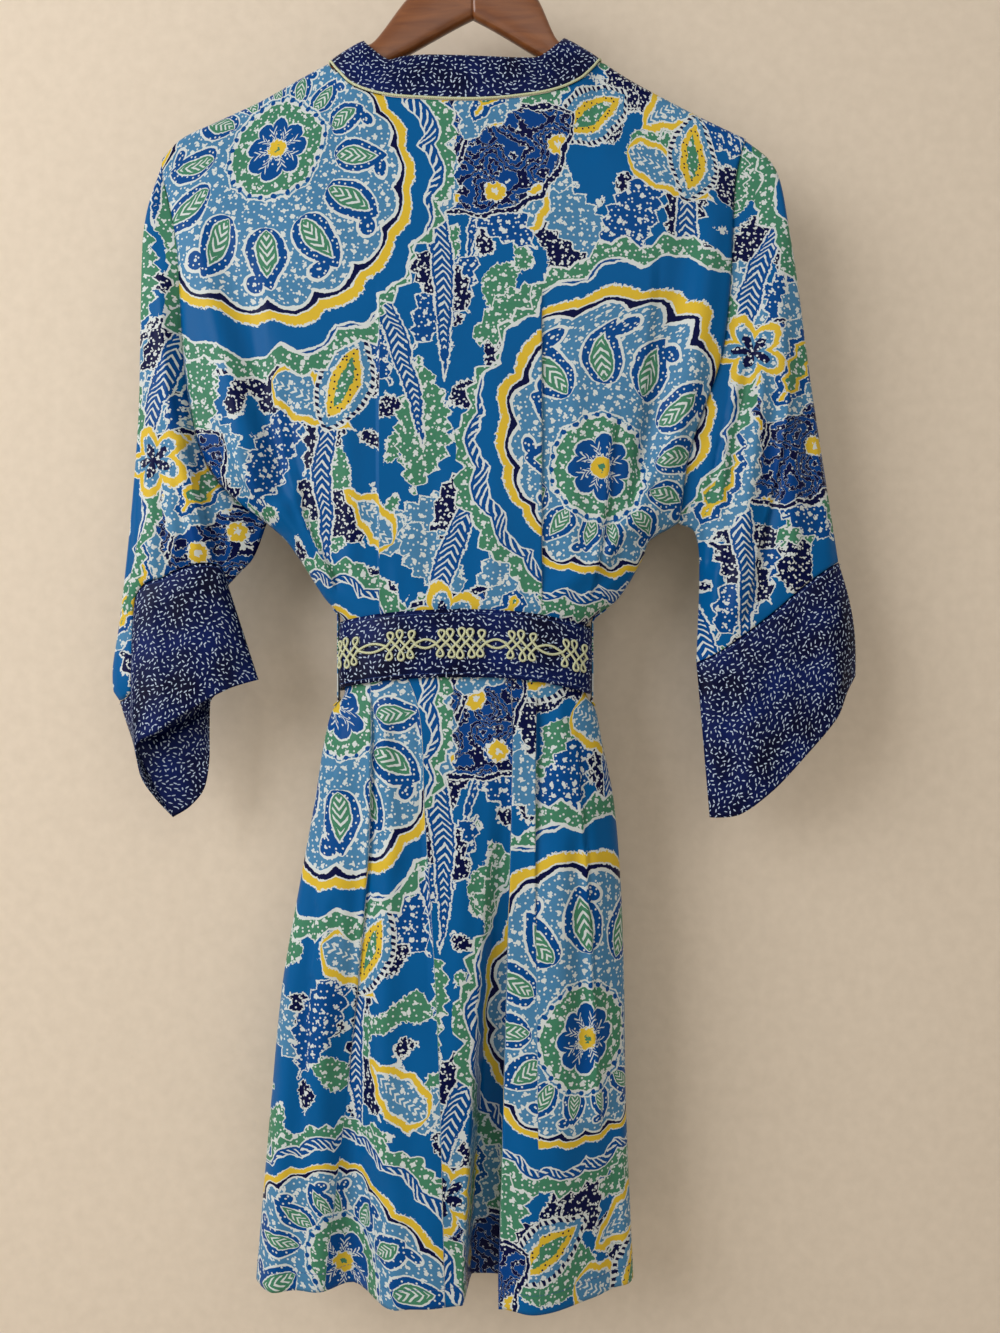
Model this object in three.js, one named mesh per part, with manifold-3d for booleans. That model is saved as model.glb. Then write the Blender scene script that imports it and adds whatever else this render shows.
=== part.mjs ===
// A short wrap robe in kimono style, hanging on a wooden hanger.
// Millimetres, +Z up, X to the right as seen from the robe's back, and the back faces -Y.
// The origin is the bearing point at the top of the hanger's hook.
import * as THREE from "three";
import Module from "manifold-3d";

// Driving sizes
const CLOTH = 1.2; // wall of every single cloth piece
const BELT_WALL = 1.6; // the belt is doubled and stiffened
const SEAM_GAP = 0.3; // space left between pieces that are sewn together
const SHOULDER_ROLL = 10; // how far the cloth stands out where it turns over the hanger's arm
const DRAPE = 90; // length over which the shoulder's turn fades into the hanging cloth
const YOKE_Z = -300; // rows of the cloth are level from here down
const HEM_Z = -1148;
const BAND_WIDTH = 40; // neckband, seam to free edge
const LAP = 4.4; // how far the upper front stands off the lower one
const PIPING_RADIUS = 1;
const BELT_HEIGHT = 54;
const BRAID_RISE = 2;
const SQUARENESS = 2.5; // how square the hanging tube's section is

function table(names, rows) {
  return rows.map((row) => Object.fromEntries(names.map((name, i) => [name, row[i]])));
}

// The hanging body, by height: edges left and right, depth of back and front, and the depth
// of the armhole's edge, which is nought once the side seam begins.
const BODY = table(
  ["z", "left", "right", "back", "front", "edge"],
  [
    [-211, -254.6, 226, 20, 18, 0],
    [-228, -254.4, 221, 21, 19, 1],
    [-250, -252.5, 216.5, 22, 20, 6],
    [-300, -241.5, 213.5, 25, 24, 12],
    [-345, -238, 210.5, 28, 27, 14],
    [-392, -235, 204.5, 30, 30, 15],
    [-434, -230, 191, 31, 32, 14],
    [-470, -222, 179, 32, 33, 12],
    [-495, -209, 175, 32, 34, 9],
    [-515, -189, 173.2, 32.5, 34, 4],
    [-528, -171, 171, 33, 35, 0],
    [-542, -155, 148, 33, 35, 0],
    [-559, -142.5, 141, 33, 35, 0],
    [-592, -121, 120.5, 33, 35, 0],
    [-602, -111, 107, 33, 35, 0],
    [-610, -105.3, 96.5, 33, 35, 0],
    [-618, -105, 94, 33, 35, 0],
    [-662, -105, 94, 33, 35, 0],
    [-671, -105.5, 94.8, 33, 35, 0],
    [-682, -115, 102, 34, 36, 0],
    [-708, -122, 107.5, 37, 40, 0],
    [-758, -130, 117.5, 40, 44, 0],
    [-832, -143.5, 123.5, 43, 47, 0],
    [-907, -156.5, 126, 44, 48, 0],
    [-1006, -166, 127.5, 45, 50, 0],
    [-1148, -178, 133.5, 45, 50, 0],
  ],
);
const TIP = { left: -228, right: -211 }; // height of each shoulder tip
const ARMPIT_Z = -528;

// Top edge of the back: shoulder, neck seam, shoulder
const TOP = table(
  ["x", "z", "y"],
  [
    [-256, -229, 0],
    [-241, -212, 0],
    [-206, -195, 0],
    [-172, -179, 0],
    [-144, -163, 0],
    [-118, -149, 0],
    [-117.2, -150.4, 6],
    [-115.4, -153.2, 9],
    [-111.5, -159, 11.5],
    [-98, -174, 16],
    [-71, -184, 18],
    [-35, -187.5, 19],
    [1, -188.5, 19],
    [37, -186, 19],
    [68, -180, 18],
    [89, -170, 16],
    [100.5, -157.5, 11.5],
    [104.4, -151.7, 9],
    [106.2, -148.9, 6],
    [107, -147.5, 0],
    [128, -161, 0],
    [159, -178, 0],
    [190, -194, 0],
    [227, -211.5, 0],
  ],
);
const NECK = { left: -118, right: 107 }; // where the neck seam crosses the shoulder
const NECK_Z = { left: -149, right: -147.5 };

// Free edge of the neckband across the back of the neck
const BAND_TOP = table(
  ["x", "z", "y"],
  [
    [-89.6, -131.7, 0],
    [-89, -133, 6],
    [-87.7, -135.4, 9],
    [-84.8, -139.5, 11.5],
    [-67, -153.5, 14.5],
    [-56, -151, 15],
    [-35, -150, 16],
    [6, -151, 16],
    [45, -152.5, 16],
    [55, -151, 15],
    [71.7, -137.3, 11.5],
    [74.6, -133.2, 9],
    [75.9, -130.8, 6],
    [76.5, -129.5, 0],
  ],
);

// Front edge of the left front, by height; the right one mirrors it about MIRROR_X
const FRONT_EDGE = table(
  ["z", "x"],
  [
    [-149, -118],
    [-175, -110],
    [-210, -101],
    [-300, -78],
    [-400, -48],
    [-500, -18],
    [-600, 12],
    [-640, 20],
    [-700, 25],
    [-1148, 40],
  ],
);
const MIRROR_X = -5;

// Larger folds: a line from 1 to 2, its width and its rise out of the cloth at both ends
const BACK_FOLDS = table(
  ["x1", "z1", "x2", "z2", "width1", "width2", "rise1", "rise2"],
  [
    [-225, -300, -172, -500, 14, 12, 3, 6],
    [-205, -300, -150, -480, 14, 12, -2, -5],
    [200, -290, 172, -470, 14, 12, 3, 5],
    [180, -280, 140, -480, 14, 12, -2, -5],
    [-150, -520, -80, -590, 12, 9, 4, 3],
    [140, -525, 70, -590, 12, 9, 4, 3],
    [-74, -345, -74, -590, 9, 9, 0, -4],
    [56.5, -360, 56.5, -590, 9, 9, 0, -4],
    [-42, -680, -34, -930, 8, 14, -6, -1],
    [52.5, -680, 50, -800, 8, 12, -6, -1],
    [-90, -700, -97, -1148, 12, 20, -2, -20],
    [-128, -760, -138, -1148, 12, 18, -2, -6],
    [34, -740, 10, -1148, 10, 13, -1, -36],
    [76, -720, 66, -1148, 20, 26, 2, 8],
    [-20, -800, -36, -1148, 18, 20, 1, 4],
  ],
);
const FRONT_FOLDS = table(
  ["x1", "z1", "x2", "z2", "width1", "width2", "rise1", "rise2"],
  [
    [-200, -300, -150, -480, 14, 12, -2, -4],
    [190, -300, 145, -480, 14, 12, -2, -4],
    [-85, -690, -105, -1148, 12, 24, -3, -14],
    [80, -690, 100, -1148, 12, 20, -3, -12],
  ],
);

function smooth(t) {
  const c = Math.min(1, Math.max(0, t));
  return c * c * (3 - 2 * c);
}

function mix(a, b, t) {
  return a + (b - a) * t;
}

// Reads one column of a table as a smooth curve along another column
function read(rows, along, name, at) {
  const up = rows[rows.length - 1][along] > rows[0][along];
  let i = 0;
  while (i < rows.length - 2 && (up ? at > rows[i + 1][along] : at < rows[i + 1][along])) {
    i += 1;
  }
  const slope = (k) => {
    const a = rows[Math.max(0, k - 1)];
    const b = rows[Math.min(rows.length - 1, k + 1)];
    return (b[name] - a[name]) / (b[along] - a[along]);
  };
  const [p, q] = [rows[i], rows[i + 1]];
  const span = q[along] - p[along];
  const t = Math.min(1, Math.max(0, (at - p[along]) / span));
  const steep = (q[name] - p[name]) / span;
  const calm = (m) => (m * steep <= 0 ? 0 : Math.sign(m) * Math.min(Math.abs(m), 3 * Math.abs(steep)));
  const [m1, m2] = [calm(slope(i)) * span, calm(slope(i + 1)) * span];
  const t2 = t * t;
  const t3 = t2 * t;
  return (
    (2 * t3 - 3 * t2 + 1) * p[name] +
    (t3 - 2 * t2 + t) * m1 +
    (3 * t2 - 2 * t3) * q[name] +
    (t3 - t2) * m2
  );
}

function foldRise(rows, x, z) {
  let total = 0;
  for (const f of rows) {
    const dx = f.x2 - f.x1;
    const dz = f.z2 - f.z1;
    const t = ((x - f.x1) * dx + (z - f.z1) * dz) / (dx * dx + dz * dz);
    const c = Math.min(1, Math.max(0, t));
    const away = Math.hypot(x - f.x1 - c * dx, z - f.z1 - c * dz);
    total += mix(f.rise1, f.rise2, c) * Math.exp(-((away / mix(f.width1, f.width2, c)) ** 2));
  }
  return total;
}

// How full the hanging tube's section is at x: nought at its two edges, one in the middle
function fullness(x, z) {
  const left = read(BODY, "z", "left", Math.min(z, BODY[0].z));
  const right = read(BODY, "z", "right", Math.min(z, BODY[0].z));
  const away = Math.min(1, Math.abs((2 * x - left - right) / (right - left)));
  return (1 - away ** SQUARENESS) ** (1 / SQUARENESS);
}

// Folds fade out at the seams and under the belt
function foldFade(x, z) {
  const waist = smooth((Math.abs(z + 634) - 36) / 40);
  return waist * smooth((fullness(x, z) - 0.35) / 0.4) * smooth((-240 - z) / 80);
}

function roll(drop) {
  const t = 1 - Math.min(1, Math.max(0, drop / SHOULDER_ROLL));
  return SHOULDER_ROLL * Math.sqrt(1 - t * t);
}

function hangingDepth(name, x, z, start, drop) {
  const edge = read(BODY, "z", "edge", z);
  const section = edge + (read(BODY, "z", name, z) - edge) * fullness(x, z);
  return mix(start, section, smooth(drop / DRAPE));
}

function backDepth(x, z) {
  const drop = read(TOP, "x", "z", x) - z;
  const start = Math.max(read(TOP, "x", "y", x), roll(drop));
  return hangingDepth("back", x, z, start, drop) + foldRise(BACK_FOLDS, x, z) * foldFade(x, z);
}

function shoulderZ(x) {
  if (x > NECK.left && x < MIRROR_X) return NECK_Z.left;
  if (x >= MIRROR_X && x < NECK.right) return NECK_Z.right;
  return read(TOP, "x", "z", x);
}

function frontEdgeX(side, z) {
  const x = read(FRONT_EDGE, "z", "x", z);
  if (side === "left") return x;
  const high = smooth((z + 400) / 200);
  return 2 * MIRROR_X - x + high * (NECK.right - 2 * MIRROR_X + NECK.left);
}

function frontDepth(side, x, z) {
  const drop = shoulderZ(x) - z;
  const plain = hangingDepth("front", x, z, roll(drop), drop);
  const folded = plain + foldRise(FRONT_FOLDS, x, z) * foldFade(x, z);
  if (side === "right") return folded;
  const lowerEdge = frontEdgeX("right", z) - BAND_WIDTH;
  return folded + LAP * smooth((x - lowerEdge + 30) / 25) * smooth((-365 - z) / 35);
}

// A closed wall from a grid of points on its outer face. side says which way its inside lies,
// and half keeps a body panel on its own side of the side seams and the shoulder.
function clothWall(grid, thick, side, ring, half = 0) {
  const rows = grid.length;
  const cols = grid[0].length;
  const at = (j, i) => grid[j][ring ? (i + cols) % cols : Math.min(cols - 1, Math.max(0, i))];
  const points = [];
  const inner = [];
  for (let j = 0; j < rows; j += 1) {
    for (let i = 0; i < cols; i += 1) {
      const across = at(j, i + 1).clone().sub(at(j, i - 1));
      const along = at(Math.min(rows - 1, j + 1), i).clone().sub(at(Math.max(0, j - 1), i));
      const normal = across.cross(along).normalize();
      points.push(at(j, i));
      const inside = at(j, i).clone().addScaledVector(normal, side * thick);
      if (half !== 0) inside.y = half * Math.max(0.2, half * inside.y);
      inner.push(inside);
    }
  }
  const count = points.length;
  points.push(...inner);
  const faces = [];
  const quad = (a, b, c, d) => {
    if (points[a].distanceTo(points[c]) <= points[b].distanceTo(points[d])) {
      faces.push(a, b, c, a, c, d);
    } else {
      faces.push(a, b, d, b, c, d);
    }
  };
  const steps = ring ? cols : cols - 1;
  for (let i = 0; i < steps; i += 1) {
    const n = (i + 1) % cols;
    for (let j = 0; j < rows - 1; j += 1) {
      const [a, b, c, d] = [j * cols + i, j * cols + n, (j + 1) * cols + n, (j + 1) * cols + i];
      quad(a, b, c, d);
      quad(count + a, count + d, count + c, count + b);
    }
    const last = (rows - 1) * cols;
    quad(n, i, count + i, count + n);
    quad(last + i, last + n, count + last + n, count + last + i);
  }
  if (!ring) {
    for (let j = 0; j < rows - 1; j += 1) {
      const [a, b] = [j * cols, (j + 1) * cols];
      quad(a, b, count + b, count + a);
      const [c, d] = [a + cols - 1, b + cols - 1];
      quad(d, c, count + c, count + d);
    }
  }
  return closedBody(points, faces);
}

// A solid from points and faces, turned so that its faces look outwards
function closedBody(points, faces) {
  let volume = 0;
  for (let k = 0; k < faces.length; k += 3) {
    const [a, b, c] = [points[faces[k]], points[faces[k + 1]], points[faces[k + 2]]];
    volume += a.dot(b.clone().cross(c));
  }
  if (volume < 0) {
    for (let k = 0; k < faces.length; k += 3) {
      [faces[k + 1], faces[k + 2]] = [faces[k + 2], faces[k + 1]];
    }
  }
  const geometry = new THREE.BufferGeometry();
  const values = new Float32Array(points.flatMap((p) => [p.x, p.y, p.z]));
  geometry.setAttribute("position", new THREE.BufferAttribute(values, 3));
  geometry.setIndex(faces);
  geometry.computeVertexNormals();
  return geometry;
}

// A solid rod through rings of points, closed with a fan at each end
function rod(rings) {
  const size = rings[0].length;
  const points = rings.flat();
  const faces = [];
  for (let j = 0; j < rings.length - 1; j += 1) {
    for (let i = 0; i < size; i += 1) {
      const [a, b] = [j * size + i, j * size + ((i + 1) % size)];
      faces.push(a, b, b + size, a, b + size, a + size);
    }
  }
  const last = (rings.length - 1) * size;
  for (let i = 1; i < size - 1; i += 1) {
    faces.push(0, i + 1, i, last, last + i, last + i + 1);
  }
  return closedBody(points, faces);
}

const robe = new THREE.Group();
robe.name = "kimono_robe";

function add(name, geometry, color, roughness, metalness = 0) {
  const material = new THREE.MeshStandardMaterial({ color, roughness, metalness });
  const mesh = new THREE.Mesh(geometry, material);
  mesh.name = name;
  robe.add(mesh);
}

const PRINT = 0x3f86bd;
const NAVY = 0x26376b;
const PALE = 0xcdd4a0;
const WOOD = 0x7d4623;
const STEEL = 0xb8bcc0;

// Rows of a body panel: the first ones run from its top edge to the yoke, the rest are level
const PANEL_ROWS = [0, 0.012, 0.045, 0.11, 0.22, 0.42, 0.68, 1];
const ARMHOLE_ROWS = [-350, -405, -455, -490, -512, -528];
const WAIST_ROWS = [-558, -592, -602, -610, -618, -662, -671, -682];
const LEVEL_ROWS = [...ARMHOLE_ROWS, ...WAIST_ROWS, -730, -810, -910, -1030, HEM_Z];

function panelGrid(columns, x, top, depth, sign) {
  const grid = PANEL_ROWS.map((t) =>
    columns.map((u) => {
      const px = x(u, mix(TIP.left, YOKE_Z, t), mix(TIP.right, YOKE_Z, t));
      const z = mix(top(px), YOKE_Z, t);
      return new THREE.Vector3(px, sign * (depth(px, z) + 0.2), z);
    }),
  );
  for (const z of LEVEL_ROWS) {
    grid.push(
      columns.map((u) => {
        const px = x(u, z, z);
        return new THREE.Vector3(px, sign * (depth(px, z) + 0.2), z);
      }),
    );
  }
  return grid;
}

// Steps across a stretch of a panel; dense says at which end they lie closer together
function steps(from, to, count, dense = "none") {
  return Array.from({ length: count }, (_, k) => {
    const t = k / count;
    const eased = { none: t, start: t * t, end: t * (2 - t) }[dense];
    return mix(from, to, eased);
  });
}

// Back: one cloth from shoulder to hem. Its columns meet the neckband's stations at the neck.
const NECK_STEPS = [0, 0.8, 2.6, 6.5, 13, 24];
const TOP_LEFT = BODY[0].left;
const TOP_WIDE = BODY[0].right - TOP_LEFT;
const columnAt = (x) => (x - TOP_LEFT) / TOP_WIDE;
const BACK_COLUMNS = [
  ...steps(0, columnAt(NECK.left), 8, "start"),
  ...NECK_STEPS.map((d) => columnAt(NECK.left + d)),
  ...steps(0.365, 0.55, 5),
  ...steps(0.55, 0.67, 7),
  0.675,
  ...NECK_STEPS.map((d) => columnAt(NECK.right - d)).reverse(),
  ...steps(1, columnAt(NECK.right), 8, "start").reverse(),
];
const backGrid = panelGrid(
  BACK_COLUMNS,
  (u, zl, zr) => mix(read(BODY, "z", "left", zl), read(BODY, "z", "right", zr), u),
  (x) => read(TOP, "x", "z", x),
  backDepth,
  -1,
);
add("back", clothWall(backGrid, CLOTH, 1, false, -1), PRINT, 0.45);

// Fronts: the left one laps over the right one
const FRONT_COLUMNS = [...steps(0, 1, 14, "start"), 1];
for (const side of ["left", "right"]) {
  const grid = panelGrid(
    FRONT_COLUMNS,
    (u, zl, zr) => {
      const z = side === "left" ? zl : zr;
      const t = (z - YOKE_Z) / (TIP[side] - YOKE_Z);
      const edgeZ = t > 0 ? mix(YOKE_Z, NECK_Z[side], t) : z;
      return mix(read(BODY, "z", side, z), frontEdgeX(side, edgeZ), u);
    },
    shoulderZ,
    (x, z) => frontDepth(side, x, z),
    1,
  );
  add(`front_${side}`, clothWall(grid, CLOTH, side === "left" ? -1 : 1, false, 1), PRINT, 0.45);
}

// Sleeve and cuff, as rings that run from the outer fold over the near side to the inner
// edge, and back over the far side: the cuff's seam, then its hem.
const CUFF = {
  left: table(
    ["r", "seamX", "seamZ", "seamY", "hemX", "hemZ", "hemY"],
    [
      [0, -292, -676, 0, -248, -772, 0],
      [0.05, -285, -673, -5, -262, -755, -4],
      [0.09, -278, -660, -8, -273, -736, -6],
      [0.13, -275.5, -592, -11, -276, -713, -10],
      [0.23, -250, -574, -14, -256, -701, -15],
      [0.36, -222, -563, -13, -228, -682, -17],
      [0.45, -208, -564, -8, -198, -667, -12],
      [0.5, -203, -577, 0, -177, -658, 0],
      [0.56, -210, -590, 8, -194, -668, 8],
      [0.66, -226, -612, 13, -212, -692, 12],
      [0.76, -246, -638, 14, -217, -724, 14],
      [0.84, -264, -656, 12, -222, -748, 13],
      [0.92, -281, -669, 7, -236, -764, 7],
      [1, -292, -676, 0, -248, -772, 0],
    ],
  ),
  right: table(
    ["r", "seamX", "seamZ", "seamY", "hemX", "hemZ", "hemY"],
    [
      [0, 304, -561, 0, 318, -655, 0],
      [0.06, 293, -567, -8, 309, -668, -7],
      [0.14, 274, -580, -12, 299, -689, -12],
      [0.24, 248, -602, -14, 274, -718, -15],
      [0.34, 222, -622, -14, 247, -747, -15],
      [0.43, 199, -638, -9, 219, -769, -9],
      [0.5, 186, -644, 0, 197, -772, 0],
      [0.57, 200, -637, 9, 218, -764, 9],
      [0.66, 224, -619, 14, 244, -742, 14],
      [0.76, 250, -598, 14, 272, -712, 14],
      [0.86, 276, -578, 12, 298, -684, 12],
      [0.94, 294, -566, 7, 309, -667, 7],
      [1, 304, -561, 0, 318, -655, 0],
    ],
  ),
};
const SLEEVE_OUTER = {
  left: table(
    ["z", "x"],
    [
      [-228, -255],
      [-244, -260.5],
      [-260, -266],
      [-277, -270],
      [-300, -272.5],
      [-426, -276],
      [-509, -282],
      [-608, -292],
      [-650, -298],
      [-667, -297.5],
      [-676, -292],
    ],
  ),
  right: table(
    ["z", "x"],
    [
      [-211, 226],
      [-227, 246],
      [-244, 255],
      [-277, 261.5],
      [-326, 269.5],
      [-409, 281],
      [-476, 291],
      [-561, 304],
    ],
  ),
};
const SLEEVE_INNER = {
  left: table(
    ["t", "x", "z"],
    [
      [0, -171, -528],
      [0.5, -181, -556],
      [0.8, -192, -569],
      [1, -203, -577],
    ],
  ),
  right: table(
    ["t", "x", "z"],
    [
      [0, 171, -528],
      [0.13, 185, -535],
      [0.28, 189, -560],
      [1, 186, -644],
    ],
  ),
};

function ringAt(rows, edge, r) {
  return new THREE.Vector3(
    read(rows, "r", `${edge}X`, r),
    read(rows, "r", `${edge}Y`, r),
    read(rows, "r", `${edge}Z`, r),
  );
}

// The sleeve's stations: its share of the way round, and the body's row that it is sewn to
const SLEEVE_SHARES = [0, 0.02, 0.045, 0.075, 0.11, 0.15, 0.19, 0.25, 0.37, 0.5, 0.64, 0.78, 0.9, 1];
function stationRows(side) {
  const high = PANEL_ROWS.map((t) => mix(TIP[side], YOKE_Z, t));
  return SLEEVE_SHARES.map((share, k) => ({ share, z: [...high, ...ARMHOLE_ROWS][k] }));
}
const STATIONS = { left: stationRows("left"), right: stationRows("right") };

// The armhole's edge on the sleeve's side of the seam
function armhole(side, s, near) {
  const z = read(STATIONS[side], "share", "z", s);
  const x = read(BODY, "z", side, z);
  const depth = near ? -backDepth(x, z) : frontDepth(side, x, z);
  const ends = Math.min(1, s / 0.02, (1 - s) / 0.02);
  const away = side === "left" ? -0.6 : 0.6;
  return new THREE.Vector3(x + away, depth * ends, z - 0.5);
}

// The sleeve's end, set back from the cuff's seam along the cloth and across the seam
function cuffSeamGap(rows, r) {
  const seam = ringAt(rows, "seam", r);
  const away = seam.clone().sub(ringAt(rows, "hem", r)).normalize();
  const before = ringAt(rows, "seam", Math.max(0, r - 0.01));
  const tangent = ringAt(rows, "seam", Math.min(1, r + 0.01)).sub(before).normalize();
  const across = new THREE.Vector3(tangent.z, 0, -tangent.x);
  if (across.dot(away) < 0) across.negate();
  return seam.addScaledVector(away, 0.4).addScaledVector(across, 0.4);
}

function pinned(curve, from, to, v) {
  const p = curve(v);
  const start = from.clone().sub(curve(0)).multiplyScalar(1 - v);
  const end = to.clone().sub(curve(1)).multiplyScalar(v);
  return p.add(start).add(end);
}

// A patch with four given borders
function sleevePoint(side, r, v) {
  const near = r <= 0.5;
  const s = near ? r * 2 : 2 - r * 2;
  const rows = CUFF[side];
  const seam = (q) => cuffSeamGap(rows, near ? q / 2 : 1 - q / 2);
  const hole = (q) => armhole(side, q, near);
  const outerRows = SLEEVE_OUTER[side];
  const [topZ, endZ] = [outerRows[0].z, outerRows[outerRows.length - 1].z];
  const outer = (t) => {
    const z = mix(topZ, endZ, t);
    return new THREE.Vector3(read(outerRows, "z", "x", z), 0, z);
  };
  const inner = (t) =>
    new THREE.Vector3(
      read(SLEEVE_INNER[side], "t", "x", t),
      0,
      read(SLEEVE_INNER[side], "t", "z", t),
    );
  const corners = [hole(0), hole(1), seam(0), seam(1)];
  const point = new THREE.Vector3()
    .addScaledVector(hole(s), 1 - v)
    .addScaledVector(seam(s), v)
    .addScaledVector(pinned(outer, corners[0], corners[2], v), 1 - s)
    .addScaledVector(pinned(inner, corners[1], corners[3], v), s)
    .addScaledVector(corners[0], -(1 - s) * (1 - v))
    .addScaledVector(corners[1], -s * (1 - v))
    .addScaledVector(corners[2], -(1 - s) * v)
    .addScaledVector(corners[3], -s * v);
  const full = Math.sin(Math.PI * s) * Math.sin(Math.PI * v);
  point.y += (near ? -1 : 1) * SLEEVE_FULL * Math.max(0, full) ** 0.6;
  return point;
}

const SLEEVE_FULL = 5; // how far the sleeve's two sides stand apart beyond its seams
const SLEEVE_ALONG = [0, 0.03, 0.08, 0.15, 0.24, 0.34, 0.45, 0.56, 0.67, 0.78, 0.88, 0.95, 1];
const CUFF_ALONG = [0, 0.25, 0.5, 0.75, 1];
const CUFF_BELLY = 5; // how far the cuff's outer fold bows out between seam and hem

for (const side of ["left", "right"]) {
  const half = SLEEVE_SHARES.map((share) => share / 2);
  const around = [...half, ...half.slice(1, -1).reverse().map((r) => 1 - r)];
  const sleeve = SLEEVE_ALONG.map((v) => around.map((r) => sleevePoint(side, r, v)));
  const turn = side === "left" ? -1 : 1;
  add(`sleeve_${side}`, clothWall(sleeve, CLOTH, -turn, true), PRINT, 0.45);
  const cuff = CUFF_ALONG.map((v) =>
    around.map((r) => {
      const seam = ringAt(CUFF[side], "seam", r);
      const point = seam.lerp(ringAt(CUFF[side], "hem", r), v);
      const bow = Math.sin(Math.PI * v) * Math.max(0, Math.cos(2 * Math.PI * r)) ** 2;
      point.x += turn * CUFF_BELLY * bow;
      return point;
    }),
  );
  add(`cuff_${side}`, clothWall(cuff, CLOTH, -turn, true), NAVY, 0.5);
}

// Neckband: stations from the left front's hem over the neck to the right front's hem, each
// with its seam point and its free edge
function frontBand(side, z) {
  const sign = side === "left" ? 1 : -1;
  const seamX = frontEdgeX(side, z);
  const low = smooth((NECK_Z[side] - z) / 60);
  const width = mix(28.4, BAND_WIDTH, low);
  const freeX = seamX + sign * width;
  const freeZ = z + mix(17.3, 0, low);
  const drop = NECK_Z[side] - z;
  const start = drop < 60 ? mix(roll(drop), frontDepth(side, seamX, z), smooth(drop / 60)) : 0;
  return {
    seam: new THREE.Vector3(seamX, frontDepth(side, seamX, z) + 0.2, z),
    free: new THREE.Vector3(freeX, (drop < 60 ? start : frontDepth(side, freeX, z)) + 0.2, freeZ),
  };
}

function backBand(t) {
  const x = mix(NECK.left, NECK.right, t);
  const freeX = mix(BAND_TOP[0].x, BAND_TOP[BAND_TOP.length - 1].x, t);
  return {
    seam: new THREE.Vector3(x, -read(TOP, "x", "y", x), read(TOP, "x", "z", x)),
    free: new THREE.Vector3(
      freeX,
      -read(BAND_TOP, "x", "y", freeX),
      read(BAND_TOP, "x", "z", freeX),
    ),
  };
}

function bandLevels(side) {
  const high = PANEL_ROWS.slice(1).map((t) => mix(NECK_Z[side], YOKE_Z, t));
  return [...high, ...LEVEL_ROWS].map((z) => frontBand(side, z));
}

const neckShares = NECK_STEPS.map((d) => d / (NECK.right - NECK.left));
const middleShares = steps(0.19, 0.81, 5);
const bandStations = [
  ...bandLevels("left").reverse(),
  ...[...neckShares, ...middleShares, 0.81, ...neckShares.map((t) => 1 - t).reverse()].map(backBand),
  ...bandLevels("right"),
];
const bandGrid = bandStations.map(({ seam, free }) => {
  const inset = (4 * SEAM_GAP) / seam.distanceTo(free);
  return [inset, 0.5, 1].map((t) => seam.clone().lerp(free, t));
});
add("neckband", clothWall(bandGrid, CLOTH, 1, false), NAVY, 0.5);

// Piping: a thin cord that lies on the neckband's seam
const PIPING_SIDES = 4;
const pipingRings = bandGrid.map((row, j) => {
  const before = bandGrid[Math.max(0, j - 1)][0];
  const after = bandGrid[Math.min(bandGrid.length - 1, j + 1)][0];
  const along = after.clone().sub(before).normalize();
  const across = row[1].clone().sub(row[0]);
  const out = along.clone().cross(across).normalize();
  const side = along.clone().cross(out).normalize();
  const centre = row[0].clone().addScaledVector(out, PIPING_RADIUS + 0.35);
  return Array.from({ length: PIPING_SIDES }, (_, k) => {
    const a = (2 * Math.PI * k) / PIPING_SIDES;
    return centre
      .clone()
      .addScaledVector(out, PIPING_RADIUS * Math.cos(a))
      .addScaledVector(side, PIPING_RADIUS * Math.sin(a));
  });
});
add("neck_piping", rod(pipingRings), PALE, 0.6);

// Belt: a ring round the waist, whose middle line sags towards the sides
const BELT = { centre: -5.5, half: 103.6, back: 37, front: 45.8 };

function beltSection(angle) {
  const [c, s] = [Math.cos(angle), Math.sin(angle)];
  const power = 2 / SQUARENESS;
  const depth = s < 0 ? BELT.back : BELT.front;
  return new THREE.Vector3(
    BELT.centre + BELT.half * Math.sign(c) * Math.abs(c) ** power,
    depth * Math.sign(s) * Math.abs(s) ** power,
    0,
  );
}

function beltMiddle(x, y) {
  if (y >= 0) return -640;
  const away = (x - BELT.centre) / BELT.half;
  const low = away < 0 ? -638 : -643;
  return mix(-628.5, low, Math.abs(away) ** 2.4);
}

const BELT_AROUND = 60;
const beltGrid = [0.5, 0, -0.5].map((h) =>
  Array.from({ length: BELT_AROUND }, (_, k) => {
    const p = beltSection((2 * Math.PI * k) / BELT_AROUND);
    p.z = beltMiddle(p.x, p.y) + h * BELT_HEIGHT;
    return p;
  }),
);
add("belt", clothWall(beltGrid, BELT_WALL, 1, true), NAVY, 0.5);

// The belt's back by arc length from its middle, for the braid that lies on it
const ARC = [];
for (let k = 0, run = 0, last = null; k <= 400; k += 1) {
  const p = beltSection(Math.PI + (Math.PI * k) / 400);
  if (last) run += p.distanceTo(last);
  ARC.push({ run, x: p.x, y: p.y });
  last = p;
}
const BRAID_MIDDLE = ARC.reduce((a, b) => (Math.abs(b.x + 7.6) < Math.abs(a.x + 7.6) ? b : a)).run;

function beltAt(along, high, out) {
  const run = along + BRAID_MIDDLE;
  const x = read(ARC, "run", "x", run);
  const y = read(ARC, "run", "y", run);
  const x2 = read(ARC, "run", "x", run + 1);
  const y2 = read(ARC, "run", "y", run + 1);
  const n = Math.hypot(x2 - x, y2 - y);
  const z = beltMiddle(x, y) + high;
  return [x + (out * (y2 - y)) / n, y - (out * (x2 - x)) / n, z];
}

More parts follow.
